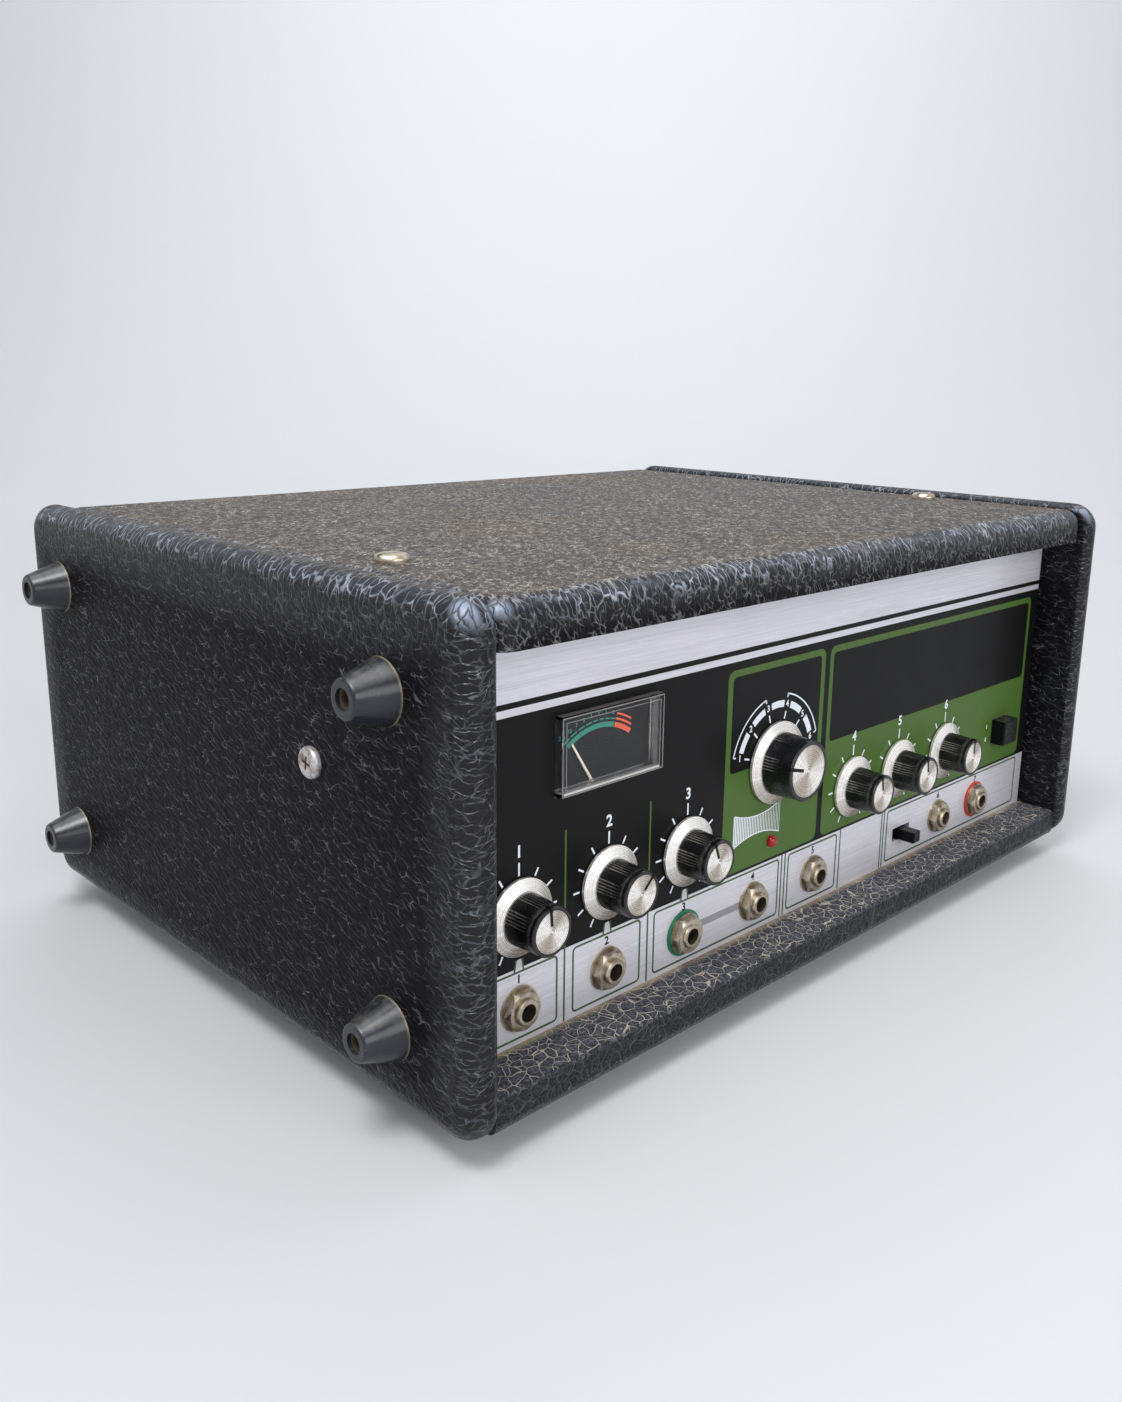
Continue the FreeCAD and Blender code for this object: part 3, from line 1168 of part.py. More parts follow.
def tape_tray():
    """The tray in which the loop lies in folds, with a gate where the tape goes in and out."""
    top, wall = deckTopZ + d.trayHigh, d.trayWall

    def upright(edge):
        return runs_along(edge, "z")
    outer = soften(span(trayX0, trayX1, trayY0, trayY1, deckTopZ, top), d.trayRound, upright)
    inner = span(trayX0 + wall, trayX1 - wall, trayY0 + wall, trayY1 - wall, tapeZ, top)
    hollow = soften(inner, d.trayRound - wall, upright)
    gateIn = span(trayX1 - wall * 2, trayX1, gateRightY - d.gateHalf, gateRightY + d.gateHalf,
                  tapeZ, top)
    gateOut = span(gateLeftX - d.gateHalf / 2, gateLeftX + d.gateHalf * 3 / 2, trayY0,
                   trayY0 + wall * 2, tapeZ, top)
    keep("tape_tray", cut(outer, hollow, gateIn, gateOut))
    cover = span(trayX0, trayX1, trayY0, trayY1, top, top + d.coverThick)
    keep("tape_cover", soften(cover, d.trayRound, upright))


def turned_path(corners, shift):
    """A closed wire of lines and arcs through corners (x, y, radius), moved sideways by shift."""
    points = [Vector(x, y, 0) for x, y, radius in corners]
    runs = []
    for n, point in enumerate(points):
        radius = corners[n][2]
        before = (point - points[n - 1]).normalize()
        after = (points[(n + 1) % len(points)] - point).normalize()
        bend = math.asin(max(-1, min(1, before.cross(after).z)))
        reach = radius * math.tan(abs(bend) / 2)
        sign = math.copysign(1, bend)
        start = point - before * reach
        centre = start + Vector(-before.y, before.x, 0) * sign * radius
        near = radius - sign * shift
        middle = (point - centre).normalize() * near + centre
        first = (start - centre).normalize() * near + centre
        last = (point + after * reach - centre).normalize() * near + centre
        runs.append((first, middle, last))
    edges = []
    for n, (first, middle, last) in enumerate(runs):
        edges.append(Part.Arc(first, middle, last).toShape())
        edges.append(Part.LineSegment(last, runs[(n + 1) % len(runs)][0]).toShape())
    return Part.Wire(edges)


# how far each fold in the tray stops short of its end, as shares of the gate's half width
FOLD_SLACK = (0, 2.9, 1.1, 3.8)


def tape_loop():
    """The endless tape: a straight run past the heads, then loose folds in the tray."""
    turn, left, right = guideReach.value, gateLeftX.value, guideRightX.value
    line, gate = tapeY.value, gateRightY.value
    low, high = (trayY0 + d.foldInset).value, (trayY1 - d.foldInset).value
    first = (trayX1 - d.foldAside).value
    folds = int(d.foldCount.value)
    pitch = (first - left) / (folds - 1)
    bend = (pitch - d.foldGap.value) / 2
    corners = [(left, line, turn), (right, line, turn), (right, gate, turn), (first, gate, turn)]
    for n in range(folds - 1):
        x = first - pitch * n
        slack = FOLD_SLACK[n % len(FOLD_SLACK)] * d.gateHalf.value
        y = high - slack if n % 2 == 0 else low + slack
        corners += [(x, y, bend), (x - pitch, y, bend)]
    half = tapeHalf.value
    strip = Part.Face(turned_path(corners, -half)).cut(Part.Face(turned_path(corners, half)))
    obj = doc.addObject("Part::Feature", "Tape")
    obj.Shape = strip.extrude(Vector(0, 0, d.tapeWide.value))
    obj.Placement = Placement(Vector(0, 0, tapeZ.value), Rotation())
    return keep("tape_loop", obj)


deck_plate()
capstan_parts()
motor_parts()
drive_belt()
pinch_parts()
tape_heads()
tape_guides()
tape_tray()
tape_loop()


# ---------------------------------------------------------------- electronics
def circuit_board():
    """The board on its posts, with upright cans, flat packages and small coils in rows."""
    x0, x1, y0, y1 = board_corners()
    low = floorZ + d.boardUp
    top = low + d.boardThick
    keep("main_board", span(x0, x1, y0, y1, low, top))
    wide, deep = x1 - x0, y1 - y0
    pieces = []
    for n in range(4):
        x, y = x0 + wide * (n + 1) / 8, y1 - deep / 8
        pieces.append(rod((x, y, top), d.canRadius - d.canShrink * n, d.canHigh - d.canLower * n))
    for column in range(5):
        for row in range(2):
            x, y = x0 + wide * (column * 2 + 1) / 12, y0 + deep * (row * 2 + 3) / 9
            pieces.append(box((x, y, top), (d.chipWide, d.chipLong, d.chipHigh)))
    for n in range(6):
        pieces.append(rod((x0 + wide * (n + 1) / 8, y0 + deep / 6, top), d.coilCanRadius,
                          d.coilCanHigh))
    return keep("board_parts", group(*pieces))


def transformer():
    """The mains transformer: a laminated core on its strap, with the coil through it."""
    x1, y1 = chassisX - d.coreRight, chassisRearY - d.coreRear
    x0, y0 = x1 - d.coreWide, y1 - d.coreDeep
    base = floorZ + d.sheetThick
    core = span(x0, x1, y0, y1, base, base + d.coreHigh)
    middleX, middleY = (x0 + x1) / 2, (y0 + y1) / 2
    coil = span(middleX - d.coilWide / 2, middleX + d.coilWide / 2, y0 - d.coilProud,
                y1 + d.coilProud, base + d.coilInset, base + d.coreHigh - d.coilInset)
    soft = soften(coil, d.coilRound, lambda edge: runs_along(edge, "z"))
    strap = span(x0 - d.coreFootProud, x1 + d.coreFootProud, middleY - d.coreFootDeep / 2,
                 middleY + d.coreFootDeep / 2, base, base + d.coreFootThick)
    return keep("power_transformer", fuse(core, soft, strap))


def inlet_and_fuse():
    """A three pin mains inlet with its flange, and a fuse holder beside it."""
    x, z = inward(d.inletInward), up(d.inletUp)
    halfWide, halfHigh = d.inletWide / 2, d.inletHigh / 2
    rear, front = backFaceY + d.inletFlange, backFaceY - d.inletDeep
    flange = span(x - halfWide - d.inletEar, x + halfWide + d.inletEar, backFaceY, rear,
                  z - halfHigh - d.inletRim, z + halfHigh + d.inletRim)
    shell = span(x - halfWide, x + halfWide, front, rear, z - halfHigh, z + halfHigh)
    wall, floor = d.inletWall, front + d.inletFloor
    socket = span(x - halfWide + wall, x + halfWide - wall, floor, rear, z - halfHigh + wall,
                  z + halfHigh - wall)
    pins = [span(x - d.pinThick / 2 + d.pinPitch * n, x + d.pinThick / 2 + d.pinPitch * n, floor,
                 backFaceY - d.pinShort, z - d.pinHigh / 2, z + d.pinHigh / 2)
            for n in (-1, 0, 1)]
    inlet = fuse(cut(fuse(flange, shell), socket), *pins)
    x = inward(d.fuseInward)
    fuseBody = fuse(rod((x, front, z), d.fuseRadius, d.inletDeep, "y"),
                    rod((x, backFaceY, z), d.fuseRadius + d.fuseRim, d.fuseRimThick, "y"),
                    rod((x, backFaceY + d.fuseRimThick, z), d.fuseRadius - d.fuseCapStep,
                        d.fuseCapLength, "y"))
    return keep("inlet_and_fuse", group(inlet, fuseBody))


circuit_board()
transformer()
inlet_and_fuse()

# ---------------------------------------------------------------- check and write
doc.recompute()
for obj in doc.Objects:
    bad = [word for word in ("Invalid", "Error") if word in obj.State]
    if bad:
        raise RuntimeError(f"{obj.Name} ({obj.Label}) is {bad}")
os.makedirs("parts", exist_ok=True)
for label, obj in parts.items():
    shape = obj.Shape
    if shape.isNull() or not shape.isValid() or not shape.Solids:
        raise RuntimeError(f"{label} has no valid solid")
for label, obj in parts.items():
    obj.Shape.exportStep(f"parts/{label}.step")
print(len(parts), "sub-parts written")
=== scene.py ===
import bpy
from math import cos, pi, radians, sin
from mathutils import Matrix, Vector


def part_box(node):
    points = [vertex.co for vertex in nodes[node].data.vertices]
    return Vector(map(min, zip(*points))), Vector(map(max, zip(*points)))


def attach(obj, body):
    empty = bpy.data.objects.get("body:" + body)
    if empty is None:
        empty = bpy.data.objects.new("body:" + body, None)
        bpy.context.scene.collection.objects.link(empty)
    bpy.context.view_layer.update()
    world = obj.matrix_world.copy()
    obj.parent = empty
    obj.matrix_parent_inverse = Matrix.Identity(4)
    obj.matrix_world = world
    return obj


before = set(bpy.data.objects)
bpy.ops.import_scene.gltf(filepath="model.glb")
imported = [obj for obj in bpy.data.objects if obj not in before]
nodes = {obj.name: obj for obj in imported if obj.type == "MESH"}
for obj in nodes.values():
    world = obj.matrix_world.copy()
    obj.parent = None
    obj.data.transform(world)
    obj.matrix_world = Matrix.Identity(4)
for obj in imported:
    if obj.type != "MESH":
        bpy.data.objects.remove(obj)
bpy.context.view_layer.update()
mm = 0.001
sideThick = 13 * mm
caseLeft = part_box("left_side_panel")[1].x - sideThick   # outer face of the left side, without feet
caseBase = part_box("bottom_panel")[0].z                  # underside of the case
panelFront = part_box("faceplate")[0].y                   # front of the aluminium plate
print("frame loaded:", len(nodes), "nodes")


# camera, lights, world and floor

cameraPlace = {
    "eye": (-0.4170, -0.4154, 0.2485),
    "right": (0.70897, -0.70506, 0.01577),
    "up": (0.15392, 0.17652, 0.97219),
    "lens": 31.74,
    "sensor": 36,
    "shift": (-0.0232, -0.0268),
    "nearest": 0.01,
}


def addObject(name, data):
    item = bpy.data.objects.new(name, data)
    bpy.context.scene.collection.objects.link(item)
    return item


def addCamera(place):
    camera = addObject("camera", bpy.data.cameras.new("camera"))
    right, up = Vector(place["right"]), Vector(place["up"])
    turn = Matrix((right, up, right.cross(up))).transposed()
    camera.matrix_world = Matrix.Translation(place["eye"]) @ turn.to_4x4()
    camera.data.lens = place["lens"]
    camera.data.sensor_width = place["sensor"]
    camera.data.shift_x, camera.data.shift_y = place["shift"]
    camera.data.clip_start = place["nearest"]
    bpy.context.scene.camera = camera


# place, aim, width and depth, and power
studioLights = {
    "overhead": ((-0.70, -0.35, 1.4), (0, 0, 0.1), (0.5, 0.5), 9.5),
    "left": ((-1.6, -0.3, 1.1), (0, 0, 0.1), (0.4, 0.4), 1.2),
    "right": ((1.3, -0.5, 1.3), (0, 0, 0.05), (0.7, 0.7), 2.5),
    "front": ((-0.1, -1.6, 0.7), (0, 0, 0.05), (1.4, 0.7), 10),
    "backdrop": ((1.2, 1.2, 2.6), (2.4, 2.4, 0.6), (2.0, 1.0), 34),
}


def addLights(lights):
    for name, (spot, aim, size, power) in lights.items():
        lamp = bpy.data.lights.new(name, "AREA")
        lamp.shape = "RECTANGLE"
        lamp.size, lamp.size_y = size
        lamp.energy = power
        item = addObject(name, lamp)
        item.location = spot
        item.rotation_euler = (Vector(aim) - Vector(spot)).to_track_quat("-Z", "Y").to_euler()


skyLook = {
    "colour": (0.93, 0.95, 1.0), "strength": 0.52,
    "low": 0.70, "high": 0.84, "haze": (0.0, 0.22),         # tone that is seen, and where it rises
    "dim": 0.14, "bright": 4.0, "room": (0.22, 0.45),       # room that is reflected, and its foot
    "lamp": (-0.28, -0.05, 0.96), "spread": (0.74, 0.95),   # the soft box's direction and its rim
}


def addWorld(look):
    # even light; the camera and clear pieces see the far floor's pale tone, and reflections the
    # same tone low down and a dim room with one soft box above it
    world = bpy.data.worlds.new("studio")
    world.use_nodes = True
    tree = world.node_tree
    sky = tree.nodes["Background"]
    sky.inputs["Color"].default_value = (*look["colour"], 1)
    ray = addNode(tree, "TexCoord").outputs["Generated"]
    rise = axes(tree, ray)[2]
    seen = spread(tree, rise, *look["haze"], look["low"], look["high"])
    aim = vectorCalc(tree, "DOT_PRODUCT", ray, look["lamp"], "Value")
    glare = spread(tree, aim, *look["spread"], look["dim"], look["bright"])
    glare = mixValue(tree, spread(tree, rise, *look["room"]), seen, glare)
    path = addNode(tree, "LightPath").outputs
    shown = mixValue(tree, path["Is Glossy Ray"], look["strength"], glare)
    direct = most(tree, path["Is Camera Ray"], path["Is Transmission Ray"])
    feed(sky, "Strength", mixValue(tree, direct, shown, seen))
    bpy.context.scene.world = world


sweep = {
    "width": 40, "front": -20, "bend": 1.6, "radius": 1.6, "top": 6.0, "steps": 24, "turn": -45,
    "rough": 0.9, "mottle": 0.01,
    "besides": (1.9, 3.0), "before": (-0.65, -1.9), "pale": 0.70,   # the far floor's start and tone
}


def addFloor(size, material):
    profile = [(size["front"], 0.0)]
    for step in range(size["steps"] + 1):
        turn = radians(90) * step / size["steps"]
        profile.append((size["bend"] + size["radius"] * sin(turn),
                        size["radius"] * (1 - cos(turn))))
    profile.append((size["bend"] + size["radius"], size["top"]))
    half = size["width"] / 2
    points = [(x, y, z) for y, z in profile for x in (-half, half)]
    faces = [(2 * n, 2 * n + 1, 2 * n + 3, 2 * n + 2) for n in range(len(profile) - 1)]
    mesh = bpy.data.meshes.new("floor")
    mesh.from_pydata(points, [], faces)
    floor = addObject("floor", mesh)
    floor.rotation_euler.z = radians(size["turn"])
    for face in mesh.polygons:
        face.use_smooth = True
    mesh.materials.append(material)


# node helpers

centre = (0.5, 0.5, 0.5)    # middle of generated coordinates, and of a noise's values


def startMaterial(name, colour, roughness, metallic=0.0, **sockets):
    material = bpy.data.materials.new(name)
    material.use_nodes = True
    shader = material.node_tree.nodes["Principled BSDF"]
    shader.inputs["Base Color"].default_value = (*colour, 1)
    shader.inputs["Roughness"].default_value = roughness
    shader.inputs["Metallic"].default_value = metallic
    for socket, value in sockets.items():
        shader.inputs[socket.replace("_", " ")].default_value = value
    return material, material.node_tree, shader


def addNode(tree, kind, inputs=None, **settings):
    node = tree.nodes.new("ShaderNode" + kind)
    for key, value in settings.items():
        setattr(node, key, value)
    for key, value in (inputs or {}).items():
        if isinstance(value, bpy.types.NodeSocket):
            tree.links.new(value, node.inputs[key])
        else:
            node.inputs[key].default_value = value
    return node


def feed(node, socket, value):
    node.id_data.links.new(value, node.inputs[socket])


def place(tree, stretch=(1, 1, 1), turn=(0, 0, 0), warp=None):
    # object coordinates in metres, warped by a noise of (scale, amount), turned and stretched
    spot = addNode(tree, "TexCoord").outputs["Object"]
    if warp:
        cloud = addNode(tree, "TexNoise", {"Vector": spot, "Scale": warp[0], "Detail": 2.0})
        centred = vectorCalc(tree, "SUBTRACT", cloud.outputs["Color"], centre)
        spot = addNode(tree, "VectorMath", {0: centred, 1: (warp[1],) * 3, 2: spot},
                       operation="MULTIPLY_ADD").outputs[0]
    return addNode(tree, "Mapping", {"Vector": spot, "Rotation": turn, "Scale": stretch},
                   vector_type="TEXTURE").outputs[0]


def noise(tree, spot, scale, detail=3.0, rough=0.55):
    inputs = {"Vector": spot, "Scale": scale, "Detail": detail, "Roughness": rough}
    return addNode(tree, "TexNoise", inputs).outputs["Fac"]


def noiseAlong(tree, value, scale, detail, rough):
    inputs = {"W": value, "Scale": scale, "Detail": detail, "Roughness": rough}
    return addNode(tree, "TexNoise", inputs, noise_dimensions="1D").outputs["Fac"]


def distances(tree, spot, scale):
    # distance to the border of a voronoi cell
    return addNode(tree, "TexVoronoi", {"Vector": spot, "Scale": scale},
                   feature="DISTANCE_TO_EDGE").outputs["Distance"]


def spread(tree, value, low, high, toLow=0.0, toHigh=1.0):
    # value's range from low to high, spread over toLow to toHigh and clamped there
    inputs = {"Value": value, "From Min": low, "From Max": high, "To Min": toLow, "To Max": toHigh}
    return addNode(tree, "MapRange", inputs).outputs[0]


def calc(tree, operation, first, second=0.0):
    return addNode(tree, "Math", {0: first, 1: second}, operation=operation).outputs[0]


def times(tree, first, *factors):
    for factor in factors:
        first = calc(tree, "MULTIPLY", first, factor)
    return first


def most(tree, first, *others):
    for other in others:
        first = calc(tree, "MAXIMUM", first, other)
    return first


def inverse(tree, value):
    return spread(tree, value, 0.0, 1.0, 1.0, 0.0)


def above(tree, value, first, second):
    # 1 where value is above both others
    return calc(tree, "GREATER_THAN", value, most(tree, first, second))


def vectorCalc(tree, operation, first, second=(0, 0, 0), output=0):
    return addNode(tree, "VectorMath", {0: first, 1: second}, operation=operation).outputs[output]


def axes(tree, vector):
    return addNode(tree, "SeparateXYZ", {0: vector}).outputs


def mixValue(tree, factor, first, second):
    return addNode(tree, "Mix", {0: factor, 2: first, 3: second}).outputs[0]


def mixVector(tree, factor, first, second):
    return addNode(tree, "Mix", {0: factor, 4: first, 5: second}, data_type="VECTOR").outputs[1]


def mixColour(tree, factor, first, second):
    first = (*first, 1) if isinstance(first, tuple) else first
    second = (*second, 1) if isinstance(second, tuple) else second
    return addNode(tree, "Mix", {0: factor, 6: first, 7: second}, data_type="RGBA").outputs[2]


def addBump(shader, height, strength, distance):
    inputs = {"Height": height, "Strength": strength, "Distance": distance}
    bump = addNode(shader.id_data, "Bump", inputs)
    feed(shader, "Normal", bump.outputs[0])


def mixShaders(tree, share, first, second):
    both = addNode(tree, "MixShader", {0: share, 1: first.outputs[0], 2: second.outputs[0]})
    feed(tree.nodes["Material Output"], "Surface", both.outputs[0])


def normalAxes(tree):
    return axes(tree, addNode(tree, "NewGeometry").outputs["Normal"])


def roundAxis(tree):
    # a knob's place across, along and up, and its distance from the axis, as shares of the width
    local = vectorCalc(tree, "SUBTRACT", addNode(tree, "TexCoord").outputs["Generated"], centre)
    flat = vectorCalc(tree, "MULTIPLY", local, (1, 0, 1))
    return *axes(tree, local), vectorCalc(tree, "LENGTH", flat, output="Value")


# finishes

caseMiddle, caseHalf = (0, 0, 92.5 * mm), (206 * mm, 155 * mm, 87.5 * mm)

# colours, cells for each metre and their stretch, a line's width as a share of a cell, where the
# edges' pattern fades over the flats, and how dust settles on what looks up
# of these colours, bend is a painted sheen, corner and edgeLine are painted highlights, line is pale
# dust with a painted highlight, and crease is painted shade in the dust, with dark its strength
vinylLook = {
    "body": (0.0058, 0.0053, 0.0069), "bend": (0.022, 0.025, 0.034), "corner": (0.27, 0.31, 0.40),
    "line": (0.18, 0.18, 0.195), "edgeLine": (0.40, 0.44, 0.52), "crease": (0.026, 0.023, 0.021),
    "dust": (0.125, 0.108, 0.092), "stain": (0.125, 0.108, 0.092), "dustLine": (0.42, 0.38, 0.31),
    "speck": (0.50, 0.45, 0.36), "seam": None,
    "cell": 450, "long": 2.9, "short": 0.95, "thin": 0.045, "broken": (0.46, 0.60, 0.0),
    "edge": 290, "near": (0.004, 0.022, 0.75, 0.0), "gloss": (0.07, 0.34),
    "settle": (0.6, 1.0), "grain": 0.35, "dark": 0.8, "side": 0.0,
}
lidLook = dict(
    vinylLook, crease=(0.012, 0.010, 0.009), dust=(0.150, 0.142, 0.138),
    stain=(0.200, 0.155, 0.115), dustLine=(0.64, 0.59, 0.51),
    cell=560, long=1.0, short=2.0, thin=0.11, broken=(0.42, 0.60, 0.0),
    near=(0.004, 0.010, 0.75, 0.0), settle=(0.82, 1.0), grain=0.6, dark=0.95)
shelfLook = dict(
    vinylLook, line=(0.06, 0.06, 0.065), edgeLine=(0.12, 0.13, 0.16), dust=(0.150, 0.162, 0.195),
    stain=(0.150, 0.162, 0.195), dustLine=(0.86, 0.79, 0.67), seam=(0.46, 0.38, 0.27), cell=235,
    long=1.0, short=1.15, thin=0.047, broken=(0.30, 0.42, 0.2), near=(0.004, 0.004, 0.75, 0.0),
    settle=(0.8, 1.0), grain=0.8, dark=0.55, side=0.3)

# turn and warp of the flats' creases, and stretch and warp of the edges'
vinylWays = {
    "side": ((0.30, 0, 0), (190, 0.0036)), "top": ((0, 0, -0.785), (150, 0.0042)),
    "front": ((0, -0.64, 0), (150, 0.0050)), "thick": 6,
    "edges": ((0.9, 2.4, 2.4), (2.4, 0.9, 2.4), (2.4, 2.4, 0.9)), "edgeWarp": (190, 0.0036),
}
vinylClouds = {"patches": (45, 3), "spots": (260, 2), "drifts": (14, 3), "grain": (1100, 2),
               "stains": (9, 2), "specks": (520, 1)}

# limits for spread: what counts as bent, near or shining for the painted highlights, and how strong
# each mark gets
vinylRanges = {
    "bent": (0.04, 0.3), "flatPatches": (0.25, 0.65, 0.6, 1), "edgeThin": (0.020, 0.062, 1, 0),
    "edgePatches": (0.82, 1.18, 0.08, 1), "shone": (0, 0.55, 0.17, 1),
    "corner": (0.04, 0.13, 1, 0), "rear": (0, 0.02, 1, 0), "rearFacing": (-0.1, 0.1),
    "rearFade": (0, 1, 1, 0.3), "upward": (0.8, 0.99), "drifts": (0.3, 0.7),
    "spots": (0.25, 0.6, 0.65, 1), "grain": (0.38, 0.62), "stains": (0.42, 0.62),
    "topmost": (0.15, 0.65), "bend": (0.15, 0.45), "paintedCornerHighlight": (0.01, 0.07, 0.1, 1),
    "crease": (0.06, 0.17, 1, 0), "sideLines": (0, 0.9, 0.3, 1), "specks": (0.72, 0.78),
    "speckShown": (0, 1, 0.15, 0.8), "seam": (-3.5 * mm, -0.5 * mm),
    "seamPatches": (0.35, 0.6, 0.25, 0.9), "rough": (0, 1, 0.5, 0.3),
    "flatRelief": (0, 0.3), "edgeRelief": (0, 0.1), "relief": (0, 1, 0.45, 0.9),
}
vinylRough, vinylDepth = 0.45, 0.00035
breakShare = 0.9    # scale of the breaks in the flats' creases, as a share of their cells'
rearLift = 0.6      # how much the rear edge counts as looking up, for its dust


def nearEdge(tree):
    # distances to the case's nearest edge and to its three pairs of faces
    spot = addNode(tree, "TexCoord").outputs["Object"]
    apart = vectorCalc(tree, "ABSOLUTE", vectorCalc(tree, "SUBTRACT", spot, caseMiddle))
    parts = axes(tree, vectorCalc(tree, "SUBTRACT", caseHalf, apart))
    low, high = calc(tree, "MINIMUM", parts[0], parts[1]), most(tree, parts[0], parts[1])
    return most(tree, low, calc(tree, "MINIMUM", high, parts[2])), parts


def flatPlace(tree, look, along):
    # place in the flats' pattern, which runs aslant on the sides, the top and the front
    long, short, thick = look["long"], look["short"], vinylWays["thick"]
    side = place(tree, (thick, long, short), *vinylWays["side"])
    top = place(tree, (long, short, thick), *vinylWays["top"])
    front = place(tree, (long, thick, short), *vinylWays["front"])
    spot = mixVector(tree, above(tree, along[0], along[1], along[2]), front, side)
    return mixVector(tree, above(tree, along[2], along[0], along[1]), spot, top)


def edgePlace(tree, gaps):
    # place in the edges' pattern, whose cells lie across the edge
    ends = [place(tree, stretch, warp=vinylWays["edgeWarp"]) for stretch in vinylWays["edges"]]
    spot = mixVector(tree, above(tree, gaps[1], gaps[0], gaps[2]), ends[0], ends[1])
    return mixVector(tree, above(tree, gaps[2], gaps[0], gaps[1]), spot, ends[2])


def vinylFinish(name, look):
    # embossed vinyl: cells parted by creases that are pale with dust and a painted highlight, wider
    # creases across the bends at the edges drawn pale as a painted highlight, brown dust on what
    # looks up with painted shade in its creases, and a painted sheen on the bends' tops and a
    # painted highlight on the corners
    material, tree, shader = startMaterial(name, look["body"], vinylRough)

    def span(kind, value, *ends):
        return spread(tree, value, *vinylRanges[kind], *ends)

    normal = normalAxes(tree)
    along = [calc(tree, "ABSOLUTE", part) for part in normal]
    bends = [times(tree, along[(axis + 1) % 3], along[(axis + 2) % 3]) for axis in range(3)]
    bent = most(tree, *bends)
    margin, gaps = nearEdge(tree)
    edge = most(tree, span("bent", bent), spread(tree, margin, *look["near"]))
    clouds = {kind: noise(tree, place(tree), *fine) for kind, fine in vinylClouds.items()}

    # creases of the flats, pale with dust in them and with a painted highlight on their edges
    flatSpot = flatPlace(tree, look, along)
    flat = distances(tree, flatSpot, look["cell"])
    breaks = noise(tree, flatSpot, look["cell"] * breakShare, 1)
    shown = spread(tree, breaks, *look["broken"], 1.0)
    flatCreaseDustAndSheen = times(tree, spread(tree, flat, 0.0, look["thin"], 1.0, 0.0), shown,
                     span("flatPatches", clouds["patches"]))
    if look["side"]:
        flatCreaseDustAndSheen = times(tree, flatCreaseDustAndSheen, span("sideLines", normal[2]))

    # creases of the edges, drawn pale as a painted highlight, which fades on what looks down, at the
    # corners and at the rear
    fold = distances(tree, edgePlace(tree, gaps), look["edge"])
    corner = span("corner", times(tree, bends[0], along[0]))
    rear = times(tree, span("rear", gaps[1]), span("rearFacing", normal[1]))
    mottled = calc(tree, "ADD", clouds["spots"], clouds["patches"])
    edgeLine = times(tree, span("edgeThin", fold), span("edgePatches", mottled), edge,
                     span("shone", normal[2]), corner, span("rearFade", rear))

    # dust with painted shade in its creases, a painted sheen on the upper part of the bends, and a
    # painted highlight on the corners
    lifted = calc(tree, "ADD", normal[2], times(tree, rear, rearLift))
    upward = span("upward", lifted, look["side"])
    settled = times(tree, upward, span("drifts", clouds["drifts"], *look["settle"]),
                    span("spots", clouds["spots"]))
    grain = span("grain", clouds["grain"], 1.0 - look["grain"], 1.0)
    dust = mixColour(tree, span("stains", clouds["stains"]), look["dust"], look["stain"])
    topmost = span("topmost", normal[2])
    # painted highlight: the corners' upper plates between their creases, drawn pale bluish
    paintedCornerHighlight = times(tree, inverse(tree, corner), span("paintedCornerHighlight", fold), topmost)
    # painted shade: the creases darkened within the settled dust
    crease = times(tree, span("crease", flat), times(tree, settled, look["dark"]))
    mark = mixColour(tree, settled, look["line"], look["dustLine"])
    specks = times(tree, span("specks", clouds["specks"]), span("speckShown", upward))

    # each layer's share and its colour, from the ground up
    layers = [(times(tree, settled, grain), dust),
              # painted sheen on the upper part of the bends, and painted highlight on the corners
              (times(tree, span("bend", bent), topmost), look["bend"]), (paintedCornerHighlight, look["corner"]),
              (crease, look["crease"]), (flatCreaseDustAndSheen, mark), (edgeLine, look["edgeLine"]),
              (specks, look["speck"])]
    if look["seam"]:
        # tan dust swept against the foot of the front panel
        start, end = (panelFront + offset for offset in vinylRanges["seam"])
        swept = times(tree, spread(tree, axes(tree, place(tree))[1], start, end),
                      span("seamPatches", clouds["patches"]))
        layers.append((swept, look["seam"]))
    colour = look["body"]
    for share, tone in layers:
        colour = mixColour(tree, share, colour, tone)
    feed(shader, "Base Color", colour)

    glossy = times(tree, edge, inverse(tree, settled))
    feed(shader, "Specular IOR Level", spread(tree, glossy, 0.0, 1.0, *look["gloss"]))
    feed(shader, "Roughness", span("rough", glossy))
    relief = mixValue(tree, edge, span("flatRelief", flat), span("edgeRelief", fold))
    addBump(shader, relief, span("relief", edge), vinylDepth)
    return material


metalLook = {"streaks": (60, 4, 0.7), "tarnish": (320, 4, 0.65), "rough": (0.25, 0.75),
             "dark": (0.42, 0.66), "darker": 0.82, "swing": (0.8, 1.3), "depth": 0.0002}


def metalFinish(name, colour, roughness, grain=(1, 1, 1), depth=0.05, tarnish=None, metal=1.0):
    # brushed or cast metal: streaks drawn out by the grain, and patches of tarnish
    material, tree, shader = startMaterial(name, colour, roughness, metal)
    look = metalLook
    streaks = noise(tree, place(tree, grain), *look["streaks"])
    patches = noise(tree, place(tree), *look["tarnish"]) if tarnish else streaks
    dark = tarnish or tuple(part * look["darker"] for part in colour)
    shade = mixColour(tree, spread(tree, patches, *look["dark"]), colour, dark)
    feed(shader, "Base Color", shade)
    ends = (roughness * share for share in look["swing"])
    feed(shader, "Roughness", spread(tree, streaks, *look["rough"], *ends))
    addBump(shader, streaks, depth, look["depth"])
    return material


